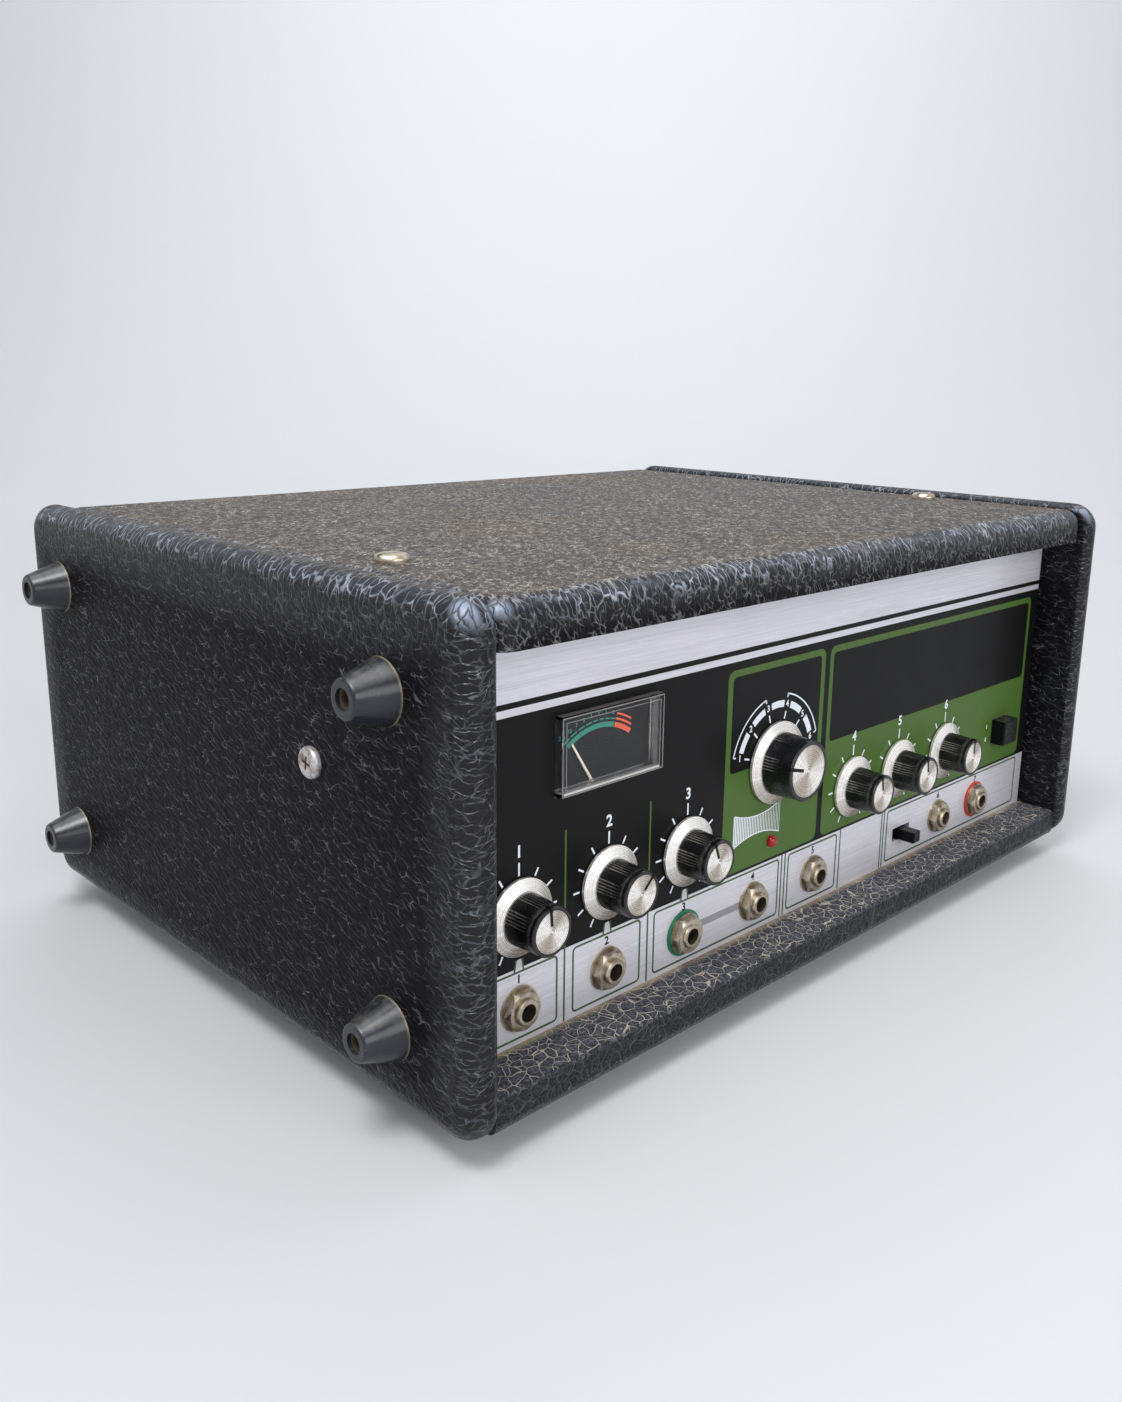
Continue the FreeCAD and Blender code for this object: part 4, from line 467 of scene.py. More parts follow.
spunLook = {
    "rough": 0.28, "metal": 0.6, "brushed": 0.6, "streaks": (3.2, 5.0, 0.75), "share": 0.30,
    "paintedWedgeHighlights": 2.6, "cap": (0.15, 0.85), "side": -0.35, "skirt": (0.12, 0.70),
    "capFrom": (-0.36, -0.34, 1.0, 0.0), "rings": (90.0, 2.0, 0.5),
    "ringRough": (0.3, 0.7, 0.22, 0.34), "ringDepth": (0.05, 0.00005),
}


def spunFinish(name, bright, dark, look):
    # lathe-turned metal, with a painted highlight in two opposite wedges on the cap and on one side
    # of the skirt, and a painted reflection in the darker tone between them
    material, tree, shader = startMaterial(name, bright, look["rough"], look["metal"])
    x, depth, z, reach = roundAxis(tree)
    angle = calc(tree, "ARCTAN2", z, x)
    streaks = noiseAlong(tree, angle, *look["streaks"])
    paintedWedgeHighlights = calc(tree, "SINE", calc(tree, "ADD", times(tree, angle, 2.0), look["paintedWedgeHighlights"]))
    paintedSideHighlight = calc(tree, "SINE", calc(tree, "ADD", angle, look["side"]))
    cap, skirt = (calc(tree, "ADD", times(tree, light, look["share"]), streaks)
                  for light in (paintedWedgeHighlights, paintedSideHighlight))
    skirt, cap = spread(tree, skirt, *look["skirt"]), spread(tree, cap, *look["cap"])
    shade = mixValue(tree, spread(tree, depth, *look["capFrom"]), skirt, cap)
    feed(shader, "Base Color", mixColour(tree, shade, dark, bright))
    shader.inputs["Anisotropic"].default_value = look["brushed"]
    ring = addNode(tree, "Tangent", direction_type="RADIAL", axis="Y")
    feed(shader, "Tangent", ring.outputs[0])
    rings = noiseAlong(tree, reach, *look["rings"])
    feed(shader, "Roughness", spread(tree, rings, *look["ringRough"]))
    addBump(shader, rings, *look["ringDepth"])
    return material


def paperFinish(name, colour, far):
    # the floor's paper, which is seen in an even pale tone far from the part
    material, tree, shader = startMaterial(name, colour, far["rough"])
    darker, paler = (tuple(part * (1 + change) for part in colour)
                     for change in (-far["mottle"], far["mottle"]))
    feed(shader, "Base Color", mixColour(tree, noise(tree, place(tree), 3, 4), darker, paler))
    x, y, z = axes(tree, place(tree))
    beyond = most(tree, spread(tree, calc(tree, "ABSOLUTE", x), *far["besides"]),
                  spread(tree, y, *far["before"]))
    path = addNode(tree, "LightPath").outputs
    direct = most(tree, path["Is Camera Ray"], path["Is Transmission Ray"], path["Is Glossy Ray"])
    pale = addNode(tree, "Emission", {"Color": (*skyLook["colour"], 1), "Strength": far["pale"]})
    mixShaders(tree, times(tree, beyond, direct), shader, pale)
    return material


plainLook = {
    # the dust colour, which on the rubber feet also stands for their top highlight: painted
    # highlight
    "dustAndSheen": (0.30, 0.27, 0.22), "facing": (0.2, 1.0), "cloud": (260, 3), "patches": (0.4, 0.7),
    "grime": (0.26, 0.21, 0.13), "grimeFrom": (0.2 * mm, 0.8 * mm),
    "grimePatches": (0.35, 0.6, 0.4, 1.0), "rough": (0.2, 0.8), "swing": (0.85, 1.15), "fine": 6,
    "depth": 0.0001,
}


def plainFinish(name, colour, roughness, mottle=0.12, scale=180, depth=0.08, dust=None, base=False,
                **sockets):
    # plastic, rubber, paint or ink with a faint mottle, a fine surface and sometimes dust on what
    # looks up, which on the rubber feet is partly a painted highlight
    material, tree, shader = startMaterial(name, colour, roughness, **sockets)
    look = plainLook
    cloud = noise(tree, place(tree), scale, 4)
    paler = tuple(min(1.0, part * (1 + mottle) + mottle * 0.01) for part in colour)
    darker = tuple(part * (1 - mottle) for part in colour)
    shade = mixColour(tree, cloud, darker, paler)
    if dust:
        patches = spread(tree, noise(tree, place(tree), *look["cloud"]), *look["patches"])
        settled = times(tree, spread(tree, normalAxes(tree)[2], *look["facing"]), patches, dust)
        shade = mixColour(tree, settled, shade, look["dustAndSheen"])
    if base:
        # grime where a foot meets the side of the case
        across = calc(tree, "ABSOLUTE", axes(tree, place(tree))[0])
        start, end = (caseHalf[0] + offset for offset in look["grimeFrom"])
        grime = times(tree, spread(tree, across, start, end, 1.0, 0.0),
                      spread(tree, cloud, *look["grimePatches"]))
        shade = mixColour(tree, grime, shade, look["grime"])
    feed(shader, "Base Color", shade)
    ends = (min(1.0, roughness * share) for share in look["swing"])
    feed(shader, "Roughness", spread(tree, cloud, *look["rough"], *ends))
    addBump(shader, noise(tree, place(tree), scale * look["fine"], 2), depth, look["depth"])
    return material


gripLook = {
    # the flutes' pale colour is dust and a painted highlight
    "body": (0.007, 0.007, 0.008), "fluteDustAndSheen": (0.46, 0.44, 0.40), "rough": 0.24,
    "sunk": (0.38, 0.8), "behindRim": (-0.46, -0.42), "cloud": (260, 3),
    "patches": (0.3, 0.6, 0.35, 1.0), "shine": (0.3, 0.7, 0.18, 0.34), "fine": (900, 2),
    "relief": (0.04, 0.0001),
}


def gripFinish(name, look, flare, depth):
    # black plastic with pale dust in its flutes, brightened to stand for the highlights along them,
    # so partly a painted highlight; flare is how much narrower the front is, and depth how deep a
    # flute is, both as shares of the grip's width
    material, tree, shader = startMaterial(name, look["body"], look["rough"])
    x, behind, z, reach = roundAxis(tree)
    rim = spread(tree, behind, -0.5, 0.5, 0.5 * (1 - flare), 0.5)
    start, end = (depth * share for share in look["sunk"])
    sunk = spread(tree, calc(tree, "SUBTRACT", rim, reach), start, end)
    cloud = noise(tree, place(tree), *look["cloud"])
    # pale dust in the flutes, partly a painted highlight along them
    dustAndSheen = times(tree, sunk, spread(tree, behind, *look["behindRim"]),
                  spread(tree, cloud, *look["patches"]))
    feed(shader, "Base Color", mixColour(tree, dustAndSheen, look["body"], look["fluteDustAndSheen"]))
    feed(shader, "Roughness", spread(tree, cloud, *look["shine"]))
    addBump(shader, noise(tree, place(tree), *look["fine"]), *look["relief"])
    return material


clearLook = {"haze": (90, 3), "patches": (0.3, 0.8), "swing": (0.6, 2.2)}


def clearFinish(name, tint, look, roughness=0.03):
    # clear moulded plastic; shadow rays pass it, so what lies behind is lit as in air
    material, tree, shader = startMaterial(
        name, tint, roughness, Transmission_Weight=1.0, IOR=1.25, Specular_IOR_Level=0.22)
    haze = noise(tree, place(tree), *look["haze"])
    ends = (roughness * share for share in look["swing"])
    feed(shader, "Roughness", spread(tree, haze, *look["patches"], *ends))
    passing = addNode(tree, "BsdfTransparent", {"Color": (*tint, 1)})
    mixShaders(tree, addNode(tree, "LightPath").outputs["Is Shadow Ray"], shader, passing)
    return material


woodLook = {
    "rough": 0.6, "stretch": (1, 16, 1), "warp": (20, 0.01), "relief": (0.15, 0.0003),
    "rings": {"Scale": 60, "Distortion": 3.0, "Detail": 3.0},
}


def woodFinish(name, dark, pale, look):
    material, tree, shader = startMaterial(name, pale, look["rough"])
    inputs = {"Vector": place(tree, look["stretch"], warp=look["warp"]), **look["rings"]}
    rings = addNode(tree, "TexWave", inputs).outputs["Fac"]
    feed(shader, "Base Color", mixColour(tree, rings, dark, pale))
    addBump(shader, rings, *look["relief"])
    return material


specialKinds = {
    "vinylCase": (vinylFinish, vinylLook),
    "vinylLid": (vinylFinish, lidLook),
    "vinylShelf": (vinylFinish, shelfLook),
    # bright and dark tones of the knobs' painted highlights and painted reflection
    "spunMetal": (spunFinish, (0.97, 0.94, 0.89), (0.36, 0.31, 0.25), spunLook),
    "gripSmall": (gripFinish, gripLook, 0.045, 0.030),
    "gripLarge": (gripFinish, gripLook, 0.046, 0.021),
    "clearCover": (clearFinish, (0.97, 0.97, 0.97), clearLook),
    "clearSheet": (clearFinish, (0.90, 0.93, 0.94), clearLook, 0.05),
    "softwood": (woodFinish, (0.36, 0.21, 0.09), (0.58, 0.40, 0.22), woodLook),
    "paper": (paperFinish, (0.74, 0.75, 0.77), sweep),
}

# colour, roughness and what differs from the function's own values
metalKinds = {
    "panelAluminium": ((0.76, 0.74, 0.795), 0.30,
                       {"grain": (4, 1, 0.033), "depth": 0.06, "metal": 0.28}),
    "chassisZinc": ((0.55, 0.55, 0.50), 0.38, {"depth": 0.06, "tarnish": (0.48, 0.46, 0.38)}),
    "screwOxide": ((0.60, 0.59, 0.59), 0.45,
                   {"depth": 0.3, "tarnish": (0.24, 0.17, 0.12), "metal": 0.5}),
    "agedNickel": ((0.58, 0.52, 0.42), 0.33, {"depth": 0.12, "tarnish": (0.36, 0.29, 0.20)}),
    "plainSteel": ((0.50, 0.50, 0.49), 0.34, {"tarnish": (0.40, 0.38, 0.35)}),
    "groundSteel": ((0.66, 0.66, 0.67), 0.16, {"grain": (1, 1, 0.12), "depth": 0.03}),
    "yellowBrass": ((0.62, 0.44, 0.20), 0.30, {"depth": 0.06, "tarnish": (0.40, 0.27, 0.13)}),
    "brightChrome": ((0.70, 0.70, 0.71), 0.10, {"depth": 0.01}),
    "inkSilver": ((0.62, 0.61, 0.64), 0.35, {"metal": 0.6}),
}
plainKinds = {
    # the sleeves seen in the feet's bores, darkened to stand for the shade in the bores: painted
    # shade
    "boreLining": ((0.075, 0.055, 0.030), 0.7, {"mottle": 0.4}),
    # painted highlights: the clear meter cover's edges and top strip, and the bright bar at its foot
    "paleEdge": ((0.24, 0.23, 0.22), 0.2, {"mottle": 0.4, "scale": 90}),
    "brightEdge": ((0.60, 0.59, 0.56), 0.15, {"mottle": 0.15, "scale": 90}),
    "rustBrown": ((0.055, 0.022, 0.008), 0.8, {"mottle": 0.4}),
    "blackPaint": ((0.020, 0.020, 0.022), 0.5, {"mottle": 0.6, "scale": 35, "depth": 0.35}),
    "deckPaint": ((0.19, 0.19, 0.20), 0.45, {"depth": 0.25}),
    "motorPaint": ((0.05, 0.05, 0.055), 0.4, {}),
    "knobBlack": ((0.005, 0.005, 0.006), 0.25, {"dust": 0.12, "Specular_IOR_Level": 0.15}),
    # the feet's dust on what looks up is partly a painted highlight on their tops
    "rubber": ((0.015, 0.018, 0.026), 0.25,
               {"mottle": 0.35, "scale": 120, "dust": 0.30, "base": True}),
    "rollerRubber": ((0.03, 0.03, 0.03), 0.55, {}),
    "strapHide": ((0.02, 0.02, 0.021), 0.45, {"mottle": 0.3, "scale": 300, "depth": 0.5}),
    "keyGrey": ((0.006, 0.006, 0.007), 0.28, {"dust": 0.25, "Specular_IOR_Level": 0.15}),
    "moulding": ((0.015, 0.015, 0.016), 0.42, {"dust": 0.2}),
    "dialFace": ((0.006, 0.006, 0.008), 0.6,
                 {"mottle": 0.05, "depth": 0.0, "Specular_IOR_Level": 0.15}),
    "lampRed": ((0.55, 0.012, 0.010), 0.12,
                {"mottle": 0.05, "depth": 0.0, "Transmission_Weight": 0.35, "IOR": 1.5}),
    "needleCream": ((0.80, 0.72, 0.58), 0.4, {"mottle": 0.03}),
    "ringGreen": ((0.004, 0.17, 0.09), 0.35, {}),
    "ringRed": ((0.62, 0.05, 0.035), 0.35, {}),
    "tapeOxide": ((0.085, 0.035, 0.022), 0.25, {"scale": 60}),
    "trayBlack": ((0.03, 0.03, 0.032), 0.3, {}),
    "boardBrown": ((0.30, 0.18, 0.06), 0.4, {"scale": 60}),
    "partSleeve": ((0.03, 0.06, 0.16), 0.3, {"scale": 40}),
    "coreLacquer": ((0.09, 0.075, 0.07), 0.4, {"scale": 400, "depth": 0.6}),
    "inkBlack": ((0.0065, 0.0062, 0.0065), 0.42,
                 {"mottle": 0.1, "scale": 60, "depth": 0.05, "Specular_IOR_Level": 0.12}),
    "inkGreen": ((0.070, 0.138, 0.024), 0.42,
                 {"mottle": 0.10, "scale": 60, "depth": 0.05, "Specular_IOR_Level": 0.25}),
    "inkCream": ((0.72, 0.70, 0.58), 0.4, {"mottle": 0.2, "depth": 0.03}),
    "inkDeepGreen": ((0.040, 0.085, 0.030), 0.42, {"depth": 0.03}),
    "inkWhite": ((0.86, 0.90, 0.96), 0.45, {"mottle": 0.03, "depth": 0.03}),
    "inkGreyPale": ((0.30, 0.29, 0.31), 0.4, {"depth": 0.03}),
    "inkTeal": ((0.01, 0.24, 0.17), 0.5, {"mottle": 0.05, "depth": 0.03}),
    "inkOrange": ((0.80, 0.10, 0.035), 0.5, {"mottle": 0.05, "depth": 0.03}),
}
finishes = {kind: make(kind, *values) for kind, (make, *values) in specialKinds.items()}
for kinds, make in ((metalKinds, metalFinish), (plainKinds, plainFinish)):
    for kind, (colour, roughness, settings) in kinds.items():
        finishes[kind] = make(kind, colour, roughness, **settings)
print("finishes made:", len(finishes))

smallKnobs = [f"{kind}_knob_{n}" for kind in ("volume", "echo") for n in (1, 2, 3)]
knobNames = smallKnobs + ["mode_knob"]
finishNodes = {
    "vinylCase": "left_side_panel right_side_panel", "vinylLid": "top_lid",
    "vinylShelf": "bottom_panel", "blackPaint": "back_panel", "softwood": "lid_battens",
    "rubber": "side_feet bottom_feet", "boreLining": "side_foot_sleeves",
    "screwOxide": "case_screws", "agedNickel": "lid_screws jack_bodies panel_nuts",
    "strapHide": "handle_strap", "brightChrome": "handle_end_caps", "panelAluminium": "faceplate",
    "chassisZinc": "chassis_tray chassis_front", "deckPaint": "deck_plate",
    "plainSteel": "potentiometers mode_switch_body pinch_arm",
    "moulding": "switch_bodies inlet_and_fuse", "keyGrey": "power_button",
    "knobBlack": "slide_lever", "lampRed": "led_lens", "dialFace": "meter_housing",
    "clearCover": "meter_cover", "needleCream": "meter_needle", "ringGreen": "jack_ring_green",
    "ringRed": "jack_ring_red", "groundSteel": "capstan_flywheel tape_heads tape_guides",
    "yellowBrass": "capstan_bearing motor_pulley", "motorPaint": "drive_motor",
    "rollerRubber": "drive_belt pinch_roller", "tapeOxide": "tape_loop",
    "trayBlack": "tape_tray", "clearSheet": "tape_cover", "boardBrown": "main_board",
    "partSleeve": "board_parts", "coreLacquer": "power_transformer",
    "gripSmall": " ".join(name + "_grip" for name in smallKnobs), "gripLarge": "mode_knob_grip",
    "spunMetal": " ".join(name + "_metal" for name in knobNames),
}


# shapes on the front panel, drawn in millimetres from the case's left face and base

def roundBox(left, low, right, top, radius, steps=6):
    corners = [(right - radius, low + radius, -90), (right - radius, top - radius, 0),
               (left + radius, top - radius, 90), (left + radius, low + radius, 180)]
    return [(x + radius * cos(radians(start + 90 * n / steps)),
             z + radius * sin(radians(start + 90 * n / steps)))
            for x, z, start in corners for n in range(steps + 1)]


def squareBox(left, low, right, top):
    return [(left, low), (right, low), (right, top), (left, top)]


def disc(x, z, radius, steps=48):
    return [(x + radius * cos(2 * pi * n / steps),
             z + radius * sin(2 * pi * n / steps)) for n in range(steps)]


def polar(centre, radius, angle):
    # angle clockwise from straight up, in degrees
    turn = radians(angle)
    return (centre[0] + radius * sin(turn), centre[1] + radius * cos(turn))


def arcBand(centre, inner, outer, start, end, step=3.0):
    count = max(1, round(abs(end - start) / step))
    angles = [start + (end - start) * n / count for n in range(count + 1)]
    return ([polar(centre, outer, angle) for angle in angles]
            + [polar(centre, inner, angle) for angle in reversed(angles)])


def tick(centre, inner, outer, angle, wide):
    a, b = Vector(polar(centre, inner, angle)), Vector(polar(centre, outer, angle))
    side = Vector((-(b - a).y, (b - a).x)).normalized() * wide / 2
    return [tuple(a - side), tuple(b - side), tuple(b + side), tuple(a + side)]


def frameBox(left, low, right, top, radius, wide):
    return [roundBox(left, low, right, top, radius),
            roundBox(left + wide, low + wide, right - wide, top - wide, max(0.1, radius - wide))]


inkThick = 0.03
inkLift = {"ground": 0.02, "number": 0.03, "box": 0.055, "inset": 0.09, "outline": 0.12,
           "mark": 0.125, "peak": 0.13, "edge": 0.0, "shine": 0.03}    # each layer's stand-off


def toPanel(mesh, face, lift):
    # from drawing millimetres to the plane at y = face, raised towards the front
    for vertex in mesh.vertices:
        x, z, rise = vertex.co
        vertex.co = (caseLeft + x * mm, face - (rise + lift) * mm, caseBase + z * mm)


def addPiece(name, mesh, finish, body):
    piece = addObject(name, mesh)
    mesh.materials.clear()
    mesh.materials.append(finishes[finish])
    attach(piece, body)
    return piece


def curveMesh(name, curve):
    shape = addObject(name, curve)
    bpy.context.view_layer.update()
    finished = shape.evaluated_get(bpy.context.evaluated_depsgraph_get())
    mesh = bpy.data.meshes.new_from_object(finished)
    bpy.data.objects.remove(shape)
    return mesh


def flatPrint(name, loops, finish, layer, thick=inkThick, face=panelFront, slot="panel_aluminium"):
    # loops filled as one flat piece; a loop inside another is a hole in it
    curve = bpy.data.curves.new(name, "CURVE")
    curve.dimensions = "2D"
    curve.fill_mode = "BOTH"
    curve.extrude = thick / 2
    for loop in loops:
        line = curve.splines.new("POLY")
        line.points.add(len(loop) - 1)
        for point, (x, z) in zip(line.points, loop):
            point.co = (x, z, 0, 1)
        line.use_cyclic_u = True
    mesh = curveMesh(name, curve)
    toPanel(mesh, face, inkLift[layer] + thick / 2)
    return addPiece(name, mesh, finish, "case")


numberStyle = {"size": 1.38, "bolder": 0.035, "smooth": 3}


def flatNumbers(name, numbers, finish, layer, face=panelFront, slot="panel_aluminium"):
    # numbers as (text, x, z, height), each centred on its place
    meshes = []
    for text, x, z, height in numbers:
        curve = bpy.data.curves.new(name, "FONT")
        curve.body = text
        curve.size = height * numberStyle["size"]
        curve.align_x, curve.align_y = "CENTER", "CENTER"
        curve.extrude = inkThick / 2
        curve.offset = numberStyle["bolder"] * height
        curve.resolution_u = numberStyle["smooth"]
        mesh = curveMesh(name, curve)
        mesh.transform(Matrix.Translation((x, z, 0)))
        meshes.append(mesh)
    whole = joinMeshes(name, meshes)
    toPanel(whole, face, inkLift[layer] + inkThick / 2)
    return addPiece(name, whole, finish, "case")


def joinMeshes(name, meshes):
    points, faces = [], []
    for mesh in meshes:
        first = len(points)
        points += [tuple(vertex.co) for vertex in mesh.vertices]
        faces += [tuple(first + index for index in face.vertices) for face in mesh.polygons]
    return meshFrom(name, points, faces)


def meshFrom(name, points, faces):
    mesh = bpy.data.meshes.new(name)
    mesh.from_pydata(points, [], faces)
    return mesh


boxFaces = ((0, 1, 3, 2), (4, 6, 7, 5), (0, 4, 5, 1), (2, 3, 7, 6), (0, 2, 6, 4), (1, 5, 7, 3))


def blockMesh(name, blocks):
    # boxes given as (x range, z range, depth range behind the front)
    points, faces = [], []
    for xs, zs, ys in blocks:
        first = len(points)
        points += [(x, y, z) for x in xs for y in ys for z in zs]
        faces += [tuple(first + n for n in face) for face in boxFaces]
    return meshFrom(name, points, faces)


# printing on the panel
panelPrint = {
    "left": 13.6, "right": 398.4, "stripe": (132.9, 134.9), "field": (42.2, 130.3),
    "meter": (56.2, 98.5, 106.7, 126.9), "lamp": (177.8, 50.6, 2.8),
    "key": (361.2, 53.8, 376.0, 67.2),
    "boxes": [(146.0, 43.3, 209.5, 127.0), (213.0, 43.3, 391.5, 127.0)], "boxRound": 3.5,
    "insets": [(149.0, 85.5, 206.8, 124.3), (215.5, 85.3, 389.0, 124.2)], "insetRound": 2.0,
    "dividers": [61.5, 104.0], "dividerTop": 85.8, "dividerHalf": 0.4,
}


def printPanel(size):
    low, top = size["field"]
    left, right = size["left"], size["right"]
    stripeLow, stripeTop = size["stripe"]
    holes = [squareBox(*size["key"]), disc(*size["lamp"])]
    field = [squareBox(left, low, right, top), squareBox(*size["meter"])]
    flatPrint("print_black_field", field + holes, "inkBlack", "ground")
    flatPrint("print_black_stripe", [squareBox(left, stripeLow, right, stripeTop)], "inkBlack",
              "ground")
    boxes = [roundBox(*box, size["boxRound"]) for box in size["boxes"]]
    flatPrint("print_green_boxes", boxes + holes, "inkGreen", "box")
    insets = [roundBox(*box, size["insetRound"]) for box in size["insets"]]
    flatPrint("print_black_insets", insets, "inkBlack", "inset")
    half = size["dividerHalf"]
    lines = [squareBox(x - half, low, x + half, size["dividerTop"]) for x in size["dividers"]]
    flatPrint("print_green_dividers", lines, "inkGreen", "box")


# the frames round the jacks, the peaks over their uprights and the line along their foot
stripPrint = {
    "low": 15.9, "top": 41.2, "wide": 0.8, "radius": 2.0,
    "boxes": [(17.0, 58.3), (65.3, 100.3), (107.2, 184.5), (190.5, 226.5), (266.8, 391.5)],
    "uprights": [61.5, 104.0, 186.3, 188.6, 229.0, 262.5, 264.5], "base": 14.3, "over": 1.0,
    "peaks": [40.4, 82.4, 124.4], "peakLow": 0.9, "peakHigh": 4.2, "gap": (1.7, 0.9),
    "peakFoot": (2.5, 1.8), "peakHead": (1.0, 1.7), "peakDrop": 1.6,
    "line": (0.9, 0.3), "link": (133, 26.5, 160, 29.5),
}


def printStrip(size):
    loops = []
    for left, right in size["boxes"]:
        loops += frameBox(left, size["low"], right, size["top"], size["radius"], size["wide"])
    half = size["wide"] / 2
    for x in size["uprights"]:
        loops.append(squareBox(x - half, size["base"], x + half, size["top"] + size["over"]))
    flatPrint("print_strip_frames", loops, "inkDeepGreen", "ground")

    low, high = size["top"] + size["peakLow"], size["top"] + size["peakHigh"]
    wide, narrow = size["gap"]
    (footOut, footIn), (headIn, headOut) = size["peakFoot"], size["peakHead"]
    foot = low - size["peakDrop"]
    peaks, bare = [], []
    for x in size["peaks"]:
        bare.append([(x - wide, low), (x + wide, low), (x + narrow, high), (x - narrow, high)])
        peaks += [[(x + side * footOut, foot), (x + side * footIn, foot), (x + side * headIn, high),
                   (x + side * headOut, high)] for side in (-1, 1)]
    flatPrint("print_strip_gaps", bare, "inkSilver", "inset")
    flatPrint("print_strip_peaks", peaks, "inkDeepGreen", "peak")
    lineLow, lineTop = (size["base"] - drop for drop in size["line"])
    line = squareBox(panelPrint["left"], lineLow, panelPrint["right"], lineTop)
    flatPrint("print_base_line", [line], "inkCream", "ground")
    flatPrint("print_grey_link", [squareBox(*size["link"])], "inkGreyPale", "ground")


# the knobs' marks: (inner, outer) distances from the axis, angles clockwise from straight up
knobPrint = {
    "small": [(x, 61.1) for x in (40.3, 82.5, 124.7, 234.8, 271.8, 312.8)],
    "inner": 14.2, "outer": 17.2, "long": 18.9, "wide": 0.75, "turns": range(-150, 151, 30),
    "smallNumber": (22.6, 4.4),
    "mode": (178.0, 84.6), "steps": [-75, -45, -15, 15, 45, 75], "modeTick": (17.8, 21.0),
    "band": (22.6, 25.4), "bandGap": 5.2, "modeNumber": (24.0, 2.7),
    "brackets": [(-75, -16.5), (13, 74)], "bracket": (27.9, 28.5), "hook": (26.6, 28.2),
    "hookWide": 0.6,
    "keyNumbers": [("1", 355.6, 64.0, 2.2), ("0", 355.6, 57.4, 2.2)],
}


def printDials(size):
    marks = []
    for centre in size["small"]:
        for angle in size["turns"]:
            reach = size["long"] if angle == 0 else size["outer"]
            marks.append(tick(centre, size["inner"], reach, angle, size["wide"]))
    mode, steps, gap = size["mode"], size["steps"], size["bandGap"]
    marks += [tick(mode, *size["modeTick"], angle, size["wide"]) for angle in steps]
    marks += [arcBand(mode, *size["band"], first + gap, last - gap)
              for first, last in zip(steps, steps[1:])]
    for start, end in size["brackets"]:
        marks.append(arcBand(mode, *size["bracket"], start, end))
        marks += [tick(mode, *size["hook"], angle, size["hookWide"]) for angle in (start, end)]
    flatPrint("print_white_marks", marks, "inkWhite", "mark")

    reach, high = size["modeNumber"]
    numbers = [(str(n + 1), *polar(mode, reach, angle), high) for n, angle in enumerate(steps)]
    rise, high = size["smallNumber"]
    numbers += [(str(n + 1), x, z + rise, high) for n, (x, z) in enumerate(size["small"])]
    flatNumbers("print_white_numbers", numbers + size["keyNumbers"], "inkWhite", "mark")


# a waisted figure of upright strokes under the mode knob
waistPrint = {"x": 168.0, "z": 60.5, "half": 14.8, "least": 3.6, "more": 3.0, "strokes": 29,
              "stroke": (0.24, 0.12), "line": 0.4}


def printWaist(size):
    middle, (wide, change) = size["strokes"] // 2, size["stroke"]
    spots = [n / middle - 1 for n in range(size["strokes"])]
    reach = [size["least"] + size["more"] * spot * spot for spot in spots]
    along = [size["x"] + size["half"] * spot for spot in spots]
    halves = [wide - change * spot for spot in spots]
    bars = [squareBox(x - half, size["z"] - high, x + half, size["z"] + high)
            for x, high, half in zip(along, reach, halves)]
    flatPrint("print_waist_bars", bars, "inkWhite", "inset")
    for name, side in (("print_waist_top", 1), ("print_waist_low", -1)):
        inner = [(x, size["z"] + side * high) for x, high in zip(along, reach)]
        outer = [(x, z + side * size["line"]) for x, z in reversed(inner)]
        flatPrint(name, [inner + outer], "inkWhite", "outline")


jackPrint = {"places": [40.4, 82.4, 124.4, 166.8, 208.4, 312.4, 348.4], "z": 38.1, "high": 3.2}


def printJacks(size):
    numbers = [(str(n + 1), x, size["z"], size["high"]) for n, x in enumerate(size["places"])]
    flatNumbers("print_black_numbers", numbers, "inkBlack", "number")


# the dial: arcs as (inner, outer) distances from the needle's axis, angles as on the knobs
dialPrint = {
    "centre": (81.45, 91.6), "start": -35, "change": 16, "end": 36, "gap": 0.8,
    "band": (25.3, 27.1), "rim": (28.0, 28.5), "warmRims": [((28.0, 28.8), 2), ((29.9, 30.6), 4)],
    "dashes": [(-38, 7.5), (-29, 6.5), (-21, 6.5), (-13, 5.5), (-6, 4.5), (0, 4.5), (6, 4),
               (11, 5)],
    "numbers": ["20", "10", "7", "5", "3", "2", "1", "0"], "size": 1.45, "reach": 30.4, "short": 3,
}


def printMeter(size):
    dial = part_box("meter_housing")[0].y
    centre, start, change, end = (size[key] for key in ("centre", "start", "change", "end"))
    cool = [arcBand(centre, *size["band"], start, change)]
    cool += [arcBand(centre, *size["rim"], first, min(change, first + wide))
             for first, wide in size["dashes"]]
    warm = [arcBand(centre, *size["band"], change + size["gap"], end)]
    warm += [arcBand(centre, *rim, change + size["gap"], end - less)
             for rim, less in size["warmRims"]]
    onDial = {"layer": "ground", "face": dial, "slot": "meter_black"}
    flatPrint("dial_teal_arcs", cool, "inkTeal", **onDial)
    flatPrint("dial_orange_arcs", warm, "inkOrange", **onDial)
    last = len(size["numbers"]) - 1
    angles = [start + (change - size["short"] - start) * n / last for n in range(last + 1)]
    numbers = [(text, *polar(centre, size["reach"], angle), size["size"])
               for text, angle in zip(size["numbers"], angles)]
    flatNumbers("dial_teal_numbers", numbers, "inkTeal", **onDial)


# painted highlights on the clear cover's edges: frames as (inset, width), the bar at its foot, the
# strip on its top
coverEdgeHighlights = {
    "frames": [(0.35, 0.45), (2.0, 0.35)], "round": 0.4, "thick": 0.02,
    "bar": {"inset": 1.0, "short": 2.2, "high": 0.825},
    "brow": {"inset": 0.6, "high": 0.05, "front": 0.5, "back": 0.2},
}


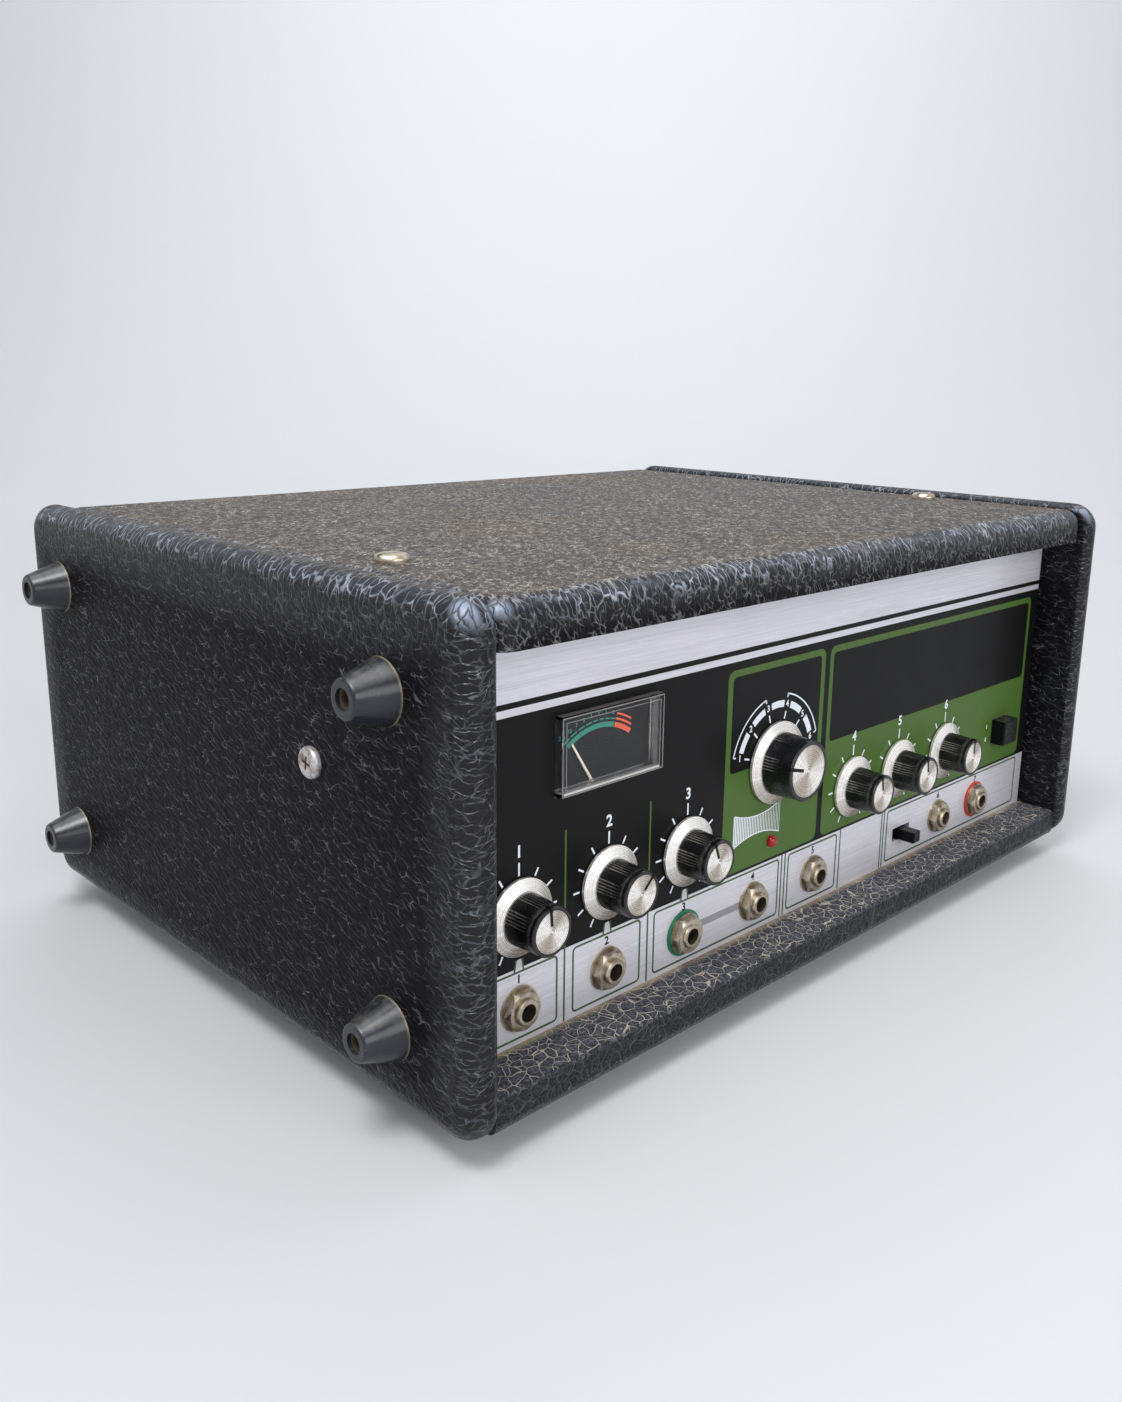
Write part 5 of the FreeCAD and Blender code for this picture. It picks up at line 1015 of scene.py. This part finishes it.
def addCoverEdgeHighlights(size):
    low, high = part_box("meter_cover")
    left, right = (low.x - caseLeft) / mm, (high.x - caseLeft) / mm
    base, top = (low.z - caseBase) / mm, (high.z - caseBase) / mm
    onCover = {"face": low.y, "thick": size["thick"], "slot": "meter_clear"}
    loops = []
    for inset, wide in size["frames"]:
        loops += frameBox(left + inset, base + inset, right - inset, top - inset, size["round"],
                          wide)
    flatPrint("meter_cover_painted_edge_highlights", loops, "paleEdge", "edge", **onCover)
    bar, brow = size["bar"], size["brow"]
    foot = base + bar["inset"]
    shine = squareBox(left + bar["inset"], foot, right - bar["short"], foot + bar["high"])
    flatPrint("meter_cover_painted_highlight_bar", [shine], "brightEdge", "shine", **onCover)
    back = (panelFront - low.y) / mm - brow["back"]
    across = (left + brow["inset"], right - brow["inset"])
    block = (across, (top, top + brow["high"]), (brow["front"], back))
    strip = blockMesh("meter_cover_painted_brow_highlight", [block])
    strip.transform(Matrix.Translation((caseLeft, low.y, caseBase)) @ Matrix.Scale(mm, 4))
    addPiece("meter_cover_painted_brow_highlight", strip, "paleEdge", "case")


# the lines on each knob: on its cap and over the cap's rim as (near, far) distances from the axis,
# and on the sloping skirt as (distance, height above the panel)
pointerShape = {
    "small": {"cap": (2.0, 7.1), "rim": (7.1, 9.0), "skirt": ((9.6, 3.0), (12.6, 1.45)),
              "wide": 1.15},
    "mode": {"cap": (3.4, 10.4), "rim": (10.4, 12.7), "skirt": ((13.4, 3.05), (16.3, 1.5)),
             "wide": 1.4},
    "capDepth": (0.04, 0.16), "rimDepth": (-0.22, 2.0), "skirtDepth": (-0.1, 0.12),
    "skirtShare": 0.75,
    "angles": (-5, 45, -20, -10, -8, 3, -75),   # in the order of knobNames
}


def addPointers(shapes):
    for name, angle in zip(knobNames, shapes["angles"]):
        shape = shapes["mode" if name == "mode_knob" else "small"]
        low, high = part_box(name + "_grip")
        half = shape["wide"] / 2
        blocks = [((-half, half), shape[part], shapes[part + "Depth"]) for part in ("cap", "rim")]
        mesh = blockMesh(name + "_pointer", blocks)
        spot = Vector(((low.x + high.x) / 2, low.y, (low.z + high.z) / 2))
        turn = Matrix.Rotation(radians(angle), 4, "Y") @ Matrix.Scale(mm, 4)
        mesh.transform(Matrix.Translation(spot) @ turn)
        addPiece(name + "_pointer", mesh, "inkBlack", name)
        half *= shapes["skirtShare"]
        points = [(x, -rise - lift, z) for lift in shapes["skirtDepth"]
                  for z, rise in shape["skirt"] for x in (-half, half)]
        line = meshFrom(name + "_skirt_line", points, boxFaces)
        line.transform(Matrix.Translation((spot.x, panelFront, spot.z)) @ turn)
        addPiece(name + "_skirt_line", line, "inkBlack", name)


# the cross in the domed head, on its part that lies this far out from the side of the case
crossShape = {"arm": 2.5, "wide": 0.9, "tilt": 12, "depth": (-0.03, 0.4), "head": (1.0, 2.5)}


def addScrewCross(shape):
    inner, outer = (caseLeft - reach * mm for reach in shape["head"])
    screws = nodes["case_screws"].data
    dome = [vertex.co for vertex in screws.vertices if outer < vertex.co.x < inner]
    arm, half, depth = shape["arm"], shape["wide"] / 2, shape["depth"]
    along, across = (-arm, arm), (-half, half)
    mesh = blockMesh("side_screw_cross", [(depth, across, along), (depth, along, across)])
    spot = sum(dome, Vector()) / len(dome)
    spot.x = min(point.x for point in dome)
    mesh.transform(Matrix.Translation(spot) @ Matrix.Rotation(radians(shape["tilt"]), 4, "X")
                   @ Matrix.Scale(mm, 4))
    addPiece("side_screw_cross", mesh, "rustBrown", "case")


addCamera(cameraPlace)
addLights(studioLights)
addWorld(skyLook)
addFloor(sweep, finishes["paper"])
for finish, names in finishNodes.items():
    for name in names.split():
        nodes[name].data.materials.clear()
        nodes[name].data.materials.append(finishes[finish])
print("camera, lights, floor and finishes done")
printPanel(panelPrint)
printStrip(stripPrint)
printDials(knobPrint)
printWaist(waistPrint)
printJacks(jackPrint)
printMeter(dialPrint)
print("printing done")
addPointers(pointerShape)
addScrewCross(crossShape)
addCoverEdgeHighlights(coverEdgeHighlights)
print("pointers, screw cross and cover edges done")

bpy.context.scene.view_settings.view_transform = "Standard"
